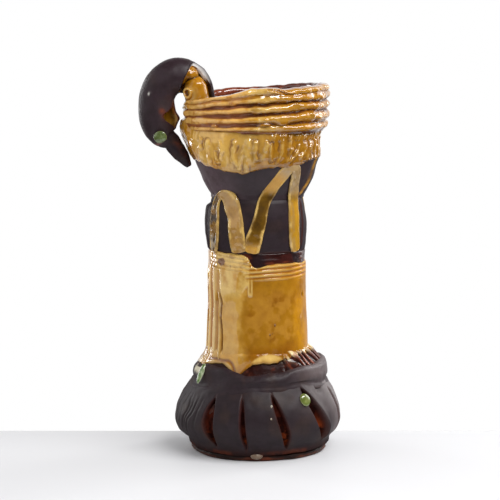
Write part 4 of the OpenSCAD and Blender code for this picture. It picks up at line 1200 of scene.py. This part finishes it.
def build_hood():
    per = 22
    places = curve(HOOD, per)
    k = np.arange(len(places)) / per
    line = arch_line(places)
    out = arch_out(line)
    out[0] = (1, 0, 0)
    big, wide = places[:, 2], places[:, 3]
    first = np.interp(k, *zip(*HOOD_FRONT)) + 4 * noise(line, 4, 8)
    last = np.interp(k, *zip(*HOOD_BACK))
    q = np.linspace(0, 1, 64)
    f = first[:, None] + (last - first)[:, None] * q[None, :]
    thick = 3.2 + 0.4 * rough(line, 8, 11) + 1.5 * span(k, 1.6, 2.3, 3.2, 3.5)
    # outer face, rounded lip, inner face, rounded lip
    edge = np.clip(np.minimum(q, 1 - q) / 0.03, 0, 1)
    draw = 1 - np.sqrt(np.clip(1 - (1 - edge) ** 2, 0, 1))
    rad = np.radians(f)
    # the back of the slab flares towards the cup below the arch
    flare = 1 + 0.22 * bump(k - 8, 0.75)[:, None] * smooth(100, 150, f)

    def face(inset):
        x = (big[:, None] - inset) * np.cos(rad) * flare
        y = (wide[:, None] - inset) * np.sin(rad)
        return line[:, None] + out[:, None] * x[..., None] + DEPTH * y[..., None]

    outer = face(0.5 * thick[:, None] * draw[None, :])
    base = outer.copy()
    swell = 0.4 * rough(base, 15, 21) + 0.1 * noise(base, 4, 22)
    outer = outer + unit(outer - line[:, None]) * swell[..., None]
    inner = face(thick[:, None] * (1 - 0.5 * draw[None, :]))
    points = beside(outer, inner[:, ::-1])
    place = k[:, None] + 0 * f
    lip = smooth(0.045, 0.01, np.minimum(q, 1 - q))[None, :] + 0 * f
    low_lip = lip * smooth(5.8, 6.3, place)
    paint = HOOD_SHEEN_LIFT * mix(BLACK, BLACK_WARM, 0.5 * cloud(base, 12, 25, -0.1, 0.8))
    # one short pale mark is painted on the left leg
    x_off, z_off = base[..., 0] + 81.6, base[..., 2] - 273.2
    pale_mark = np.hypot(0.8 * x_off - 0.6 * z_off, 0.3 * (0.6 * x_off + 0.8 * z_off))
    pale_mark = pale_mark + 20 * (base[..., 1] > 0)
    paint = mix(paint, (0.7, 0.68, 0.62), 0.9 * bump(pale_mark, 0.42))
    red = mix(OXBLOOD, RUST, cloud(base, 5, 29, -0.3, 0.5))
    paint = mix(paint, red, 0.9 * low_lip)
    notch = bump(place - 6.9, 0.24) * smooth(-92, -106, f) * cloud(base, 5, 31, -0.6, 0)
    paint = mix(paint, red, 0.9 * notch)
    # the chin is painted pinkish brown, partly red clay, partly a painted highlight
    chin = bump(place - 9.7, 0.22) * span(f, -110, -60, -20, 20)
    paint = mix(paint, (0.26, 0.1, 0.08), 0.7 * chin)
    glaze = mix((0.46, 0.2, 0.006), HONEY, cloud(inner, 6, 33, -0.3, 0.5))
    glaze = coats(
        glaze,
        (DEEP, 0.4 * cloud(inner, 8, 35, 0, 0.6)),
        (red, np.maximum(0.7 * low_lip, 0.9 * span(place, 5, 6, 6.8, 7.1))),
        (CREAM, 0.5 * smooth(7.1, 7.5, place) * cloud(inner, 4, 36, -0.4, 0.3)),
    )
    # a white highlight is painted on the cut edge where the arch opens
    painted_highlight = span(place, 1.7, 2.3, 3.25, 3.45) * (f < 40)
    paint = mix(paint, HIGHLIGHT_WHITE, 0.95 * painted_highlight * smooth(0.02, 0.006, q)[None, :])
    glaze = mix(glaze, HIGHLIGHT_WHITE, 0.95 * painted_highlight * smooth(16, 4, f))
    dark_rim = lip * smooth(4, 3, place) * (1 - painted_highlight)
    glaze = mix(glaze, BLACK_WARM, dark_rim)
    paint = beside(paint, glaze[:, ::-1])
    shine = beside(0 * lip, 0.9 * (1 - lip[:, ::-1]))
    add_lattice("swan_hood", points, paint, HOOD_LOOK, ["spout_hood"], capped=True, shine=shine)


def sweep(line, wide, deep, sides, name, paint_of, look, nodes, lumps, shine):
    """A round piece along a line; lumps are (height, size, seed)."""
    out = arch_out(line)
    f = np.arange(sides) * 2 * np.pi / sides
    across, along = np.outer(wide, np.cos(f)), np.outer(deep, np.sin(f))
    off = out[:, None] * across[..., None] + DEPTH * along[..., None]
    base = line[:, None] + off
    height, size, seed = lumps
    points = base + unit(off) * (height * rough(base, size, seed))[..., None]
    add_lattice(name, points, paint_of(points, f), look, nodes, capped=True, shine=shine)


BEAK = [(-23.4, -15.6, 5.2, 5), (-20.2, -22.2, 6.8, 6.4), (-15.9, -27.6, 6.7, 6.2),
        (-10.7, -34.6, 6.4, 5.6), (-6.6, -39.8, 5.3, 4.6), (-3.6, -44.2, 3.4, 3), (-2.1, -46.8, 1.7, 1.6)]


def build_beak():
    places = curve(BEAK, 10)
    line = arch_line(places)

    def paint_of(p, f):
        paint = mix(BLACK, BLACK_WARM, cloud(p, 7, 5, -0.2, 0.7))
        inner_side = smooth(0.1, -0.7, np.cos(f))[None, :] * smooth(246, 232, p[..., 2])
        return mix(paint, RUST, 0.6 * inner_side * cloud(p, 5, 9, -0.3, 0.4))
    sweep(line, places[:, 2], places[:, 3], 36, "swan_beak", paint_of, BLACK_LOOK, ["beak"],
          (0.5, 6, 13), SLIP_SHEEN)


TUBE = [(7.6, -7, 6, 6), (5.6, -2, 9.2, 8.6), (4.4, 4, 9.2, 8.6), (3.6, 10, 9, 8.4), (2.6, 15.2, 8.2, 8),
        (1.5, 18.8, 6.2, 7), (0.9, 20.4, 4.6, 6), (-0.2, 23, 5.4, 7), (-4, 24.4, 6, 7), (-10.4, 22, 7, 6.6),
        (-19.6, 17, 6.4, 6.2), (-25.5, 7.1, 6, 6), (-25.9, -5.4, 5.6, 5.6), (-24.5, -14.4, 4.4, 4.4)]


def build_tube():
    per = 9
    places = curve(TUBE, per)
    line = arch_line(places)
    line[:, 1] = np.interp(np.arange(len(line)), [0, 14, 60, len(line)], [0, -2.6, -1.6, 0])

    def paint_of(p, _):
        slope = p * np.array([1, 1, 0.35]) + p[..., 2:3] * np.array([0.5, 0, 0])
        streak = noise(slope, 2.2, 7) * smooth(-52, -46, p[..., 0])
        paint = mix((0.28, 0.11, 0.002), (0.37, 0.155, 0.003), cloud(p, 7, 5, -0.4, 0.5))
        paint = coats(
            paint,
            (DEEP, 0.65 * smooth(0.1, 0.7, streak)),
            (CREAM, 0.25 * cloud(p, 4, 11, 0.2, 0.8) + 0.4 * smooth(-0.3, -0.9, streak)),
            (CREAM, 0.5 * bump(np.hypot(p[..., 0] + 52.6, p[..., 2] - 272) - 5, 2)),
        )
        k = np.arange(len(p))[:, None] / per
        # the pinched fold is painted near black, a painted shade
        return mix(paint, (0.02, 0.005, 0.004), 0.9 * bump(k - 6, 0.36) * np.ones((1, p.shape[1])))
    sweep(line, places[:, 2], places[:, 3], 48, "amber_tube", paint_of, AMBER_LOOK, ["drinking_tube"],
          (0.6, 5, 17), 0.45)


def build_vent():
    n = 64
    centre = np.array([-52.6, -8.9, 273.4])
    axis = unit([-0.5, -0.86, 0.08])
    side = unit(np.cross(axis, UP))
    up = np.cross(side, axis)
    f = np.radians(around(n))
    loop = [(1.7, 0.3), (2.2, 1), (2.9, 1.1), (3.6, 0.4), (4.2, -1.2), (4.4, -3.2), (2, -3.2), (1.4, -2)]
    section = round_loop(np.array([loop]), 3)[0]
    ring = side * np.cos(f)[:, None] + 1.25 * up * np.sin(f)[:, None]
    wobble = 1 + 0.08 * np.sin(2 * f + 0.7) + 0.05 * np.sin(3 * f)
    reach = np.outer(wobble, section[:, 0])
    points = centre + ring[:, None] * reach[..., None] + axis * section[None, :, 1, None]
    paint = mix(AMBER, CREAM, 0.7 * smooth(0, 1.1, section[:, 1])[None, :] * np.ones((n, 1)))
    # the hole's inner wall is painted dark, and a dark floor closes the hole: painted shade inside it
    hole = smooth(2.3, 1.9, section[:, 0])[None, :] * np.ones((n, 1))
    paint = mix(paint, DEEP, hole)
    add_lattice("vent_collar", points, paint, AMBER_LOOK, ["vent_ring"], shine=0.6)
    plug_r = np.array([2.6, 1.7, 0.7])
    plug_h = np.array([-0.3, -0.5, -0.6])
    front = centre + ring[:, None] * plug_r[None, :, None] + axis * plug_h[None, :, None]
    rear = centre + ring[:, None] * plug_r[None, ::-1, None] + axis * (plug_h[None, ::-1, None] - 1.2)
    plug = beside(front[:, ::-1], rear[:, ::-1]).transpose(1, 0, 2)
    add_lattice("vent_floor", plug, np.array((0.1, 0.034, 0.005)), OXBLOOD_LOOK, [],
                capped=True, shine=0.1)


def drop(name, centre, normal, across, tall, high, seed, nodes, pale=0.5, one=GREEN, two=GREEN_PALE,
         look=GREEN_LOOK):
    """A lump of glaze that sits on a face."""
    normal = unit(normal)
    side = unit(np.cross(UP, normal))
    up = np.cross(normal, side)
    f = np.radians(around(48))
    lat = np.linspace(-0.47, 0.47, 22) * np.pi
    flat = np.cos(lat) ** 0.8
    ring = side * (across * np.cos(f))[:, None] + up * (tall * np.sin(f))[:, None]
    height = np.where(lat > 0, high, 1) * np.sin(lat)
    centre = np.asarray(centre)
    points = centre + ring[None, :] * flat[:, None, None] + normal * height[:, None, None]
    points = points + (points - centre) * (0.14 * noise(points, 5, seed))[..., None]
    edge = smooth(0.5, 0.2, np.sin(lat))[:, None]
    paint = mix(one, two, pale * cloud(points, 3, seed + 5, -0.2, 0.7) + 0.5 * edge)
    add_lattice(name, points, paint, look, nodes, capped=True)


def build_drops():
    def on_belly(a, z, lift):
        """A place on the belly and the way out from it."""
        slope = float(belly(z + 0.5) - belly(z - 0.5))
        t = math.radians(a)
        return ring_points(float(belly(z)) + lift, a, z), (math.sin(t), -math.cos(t), -slope)
    drop("green_drop_belly", *on_belly(37, 45.6, 0.6), 4.4, 4.9, 1.9, 3, ["green_pellets"], 0.6,
         (0.13, 0.17, 0.03), (0.3, 0.32, 0.12))
    # the shoulder's drop is pale green-white, partly glaze, partly a painted highlight
    drop("green_drop_shoulder", ring_points(50.2, -57, 63.2), (-0.62, -0.6, 0.45), 2.3, 8.2, 1.7, 9, [],
         0.55, (0.085, 0.17, 0.03), (0.6, 0.64, 0.46))
    drop("green_drop_hood", (-73.2, -12.6, 240.6), (-0.12, -1, -0.12), 5.2, 4.8, 1.7, 15, [], 0.3)
    drop("pale_fleck_upper", *on_belly(10.1, 43.1, 0.4), 0.8, 1.2, 0.7, 21, [], 0.9,
         (0.3, 0.26, 0.2), (0.75, 0.72, 0.64))
    drop("pale_fleck_lower", *on_belly(9.4, 34.1, 0.2), 0.7, 0.8, 0.5, 25, [], 0.9,
         (0.25, 0.2, 0.15), (0.7, 0.66, 0.58))
    drop("foot_nodule", ring_points(53.4, -0.4, 4.3), (0, -1, 0.2), 4.5, 2.5, 1.5, 31, [], 0.9,
         (0.2, 0.14, 0.1), STONE, CLAY_LOOK)


# Light, floor and camera

# Each lamp: name, place, where it points, width and height in metres, power in watts
LAMPS = [
    ("overhead strip", (0.62, -0.62, 1.1), (0, 0, 0.14), 1.3, 0.28, 18.5),
    ("right soft box", (1.1, 0.5, 0.75), (0, 0, 0.12), 0.9, 0.7, 6.5),
    ("right strip", (0.75, 0.55, 0.4), (0, 0, 0.16), 0.16, 0.8, 1.8),
    ("left strip", (-0.75, 0.55, 0.3), (0, 0, 0.14), 0.16, 0.6, 2.6),
    ("left soft box", (-1.62, -0.42, 0.75), (0, 0, 0.15), 2.4, 2.2, 12),
]
# Level of the white room's light, and what reflections see of it in front of the jug
ROOM_LEVEL = 0.54
FRONT_LEVEL = 0.04
# The table's near and far edges, half its width and its level in metres
TABLE_NEAR = -0.4
TABLE_FAR = 0.062
TABLE_HALF = 0.32
TABLE_Z = -0.0002
# The camera fitted to the photograph: place in metres, tilt in degrees, lens and sensor in millimetres
EYE = (-0.0055, -1.721, 0.366)
TILT = 7.05
LENS = 163.4
SENSOR = 36


def larger(tree, one, two):
    """The larger of two node outputs."""
    node = put(tree, "Math")
    node.operation = "MAXIMUM"
    tree.links.new(one, node.inputs[0])
    tree.links.new(two, node.inputs[1])
    return node.outputs["Value"]


def build_room():
    world = bpy.data.worlds.new("white room")
    bpy.context.scene.world = world
    world.use_nodes = True
    tree = world.node_tree
    tree.nodes.clear()
    white = (1, 1, 1, 1)
    room = put(tree, "Background", Color=white, Strength=ROOM_LEVEL)
    rays = put(tree, "LightPath").outputs
    # reflections see the white backdrop behind the jug and the darker room in front of it
    way = put(tree, "SeparateXYZ", Vector=put(tree, "TexCoord").outputs["Generated"])
    depth = put(tree, "MapRange", Value=way.outputs["Y"], From_Min=0.45, From_Max=1,
                To_Min=FRONT_LEVEL, To_Max=1)
    depth.interpolation_type = "SMOOTHSTEP"
    level = larger(tree, rays["Is Camera Ray"], depth.outputs["Result"])
    seen = put(tree, "Background", Color=white, Strength=level)
    direct = larger(tree, rays["Is Camera Ray"], rays["Is Glossy Ray"])
    choose = put(tree, "MixShader", Fac=larger(tree, direct, rays["Is Transmission Ray"]))
    tree.links.new(room.outputs["Background"], choose.inputs[1])
    tree.links.new(seen.outputs["Background"], choose.inputs[2])
    put(tree, "OutputWorld", Surface=choose.outputs["Shader"])


def build_table():
    mesh = bpy.data.meshes.new("table")
    corners = ((-1, TABLE_NEAR), (1, TABLE_NEAR), (1, TABLE_FAR), (-1, TABLE_FAR))
    mesh.from_pydata([(side * TABLE_HALF, y, TABLE_Z) for side, y in corners], [], [(0, 1, 2, 3)])
    table = show("table", mesh)
    paper, tree, bsdf = new_material("table paper")
    fill(tree, bsdf, Base_Color=(0.63, 0.63, 0.645, 1), Roughness=0.55, Specular_IOR_Level=0.2)
    mesh.materials.append(paper)


def build_lamp(name, place, aim, width, height, power):
    light = bpy.data.lights.new(name, "AREA")
    light.shape = "RECTANGLE"
    light.size = width
    light.size_y = height
    light.energy = power
    obj = show(name, light)
    obj.location = place
    way = unit(np.subtract(aim, place))
    obj.rotation_euler = (math.acos(-way[2]), 0, math.atan2(way[1], way[0]) - math.pi / 2)


def build_camera():
    view = bpy.data.cameras.new("photo view")
    view.lens = LENS
    view.sensor_width = SENSOR
    eye = show("photo view", view)
    eye.location = EYE
    eye.rotation_euler = (math.radians(90 - TILT), 0, 0)
    bpy.context.scene.camera = eye
    bpy.context.scene.view_settings.view_transform = "Standard"


build_foot()
build_mantle()
build_shoulder()
build_stem()
build_skirt()
build_neck()
build_collar()
build_funnel()
build_band()
for coil in range(len(COIL_NODES)):
    build_coil(coil)
build_bowl()
for strip in range(len(STRIPS)):
    build_strip(strip)
build_hood()
build_beak()
build_tube()
build_vent()
build_drops()

inner_clay = plain_clay()
for name in ("base_pot", "core_tube", "dip_tube"):
    node = bpy.data.objects[name]
    node.data.materials.clear()
    node.data.materials.append(inner_clay)

build_room()
build_table()
for lamp in LAMPS:
    build_lamp(*lamp)
build_camera()
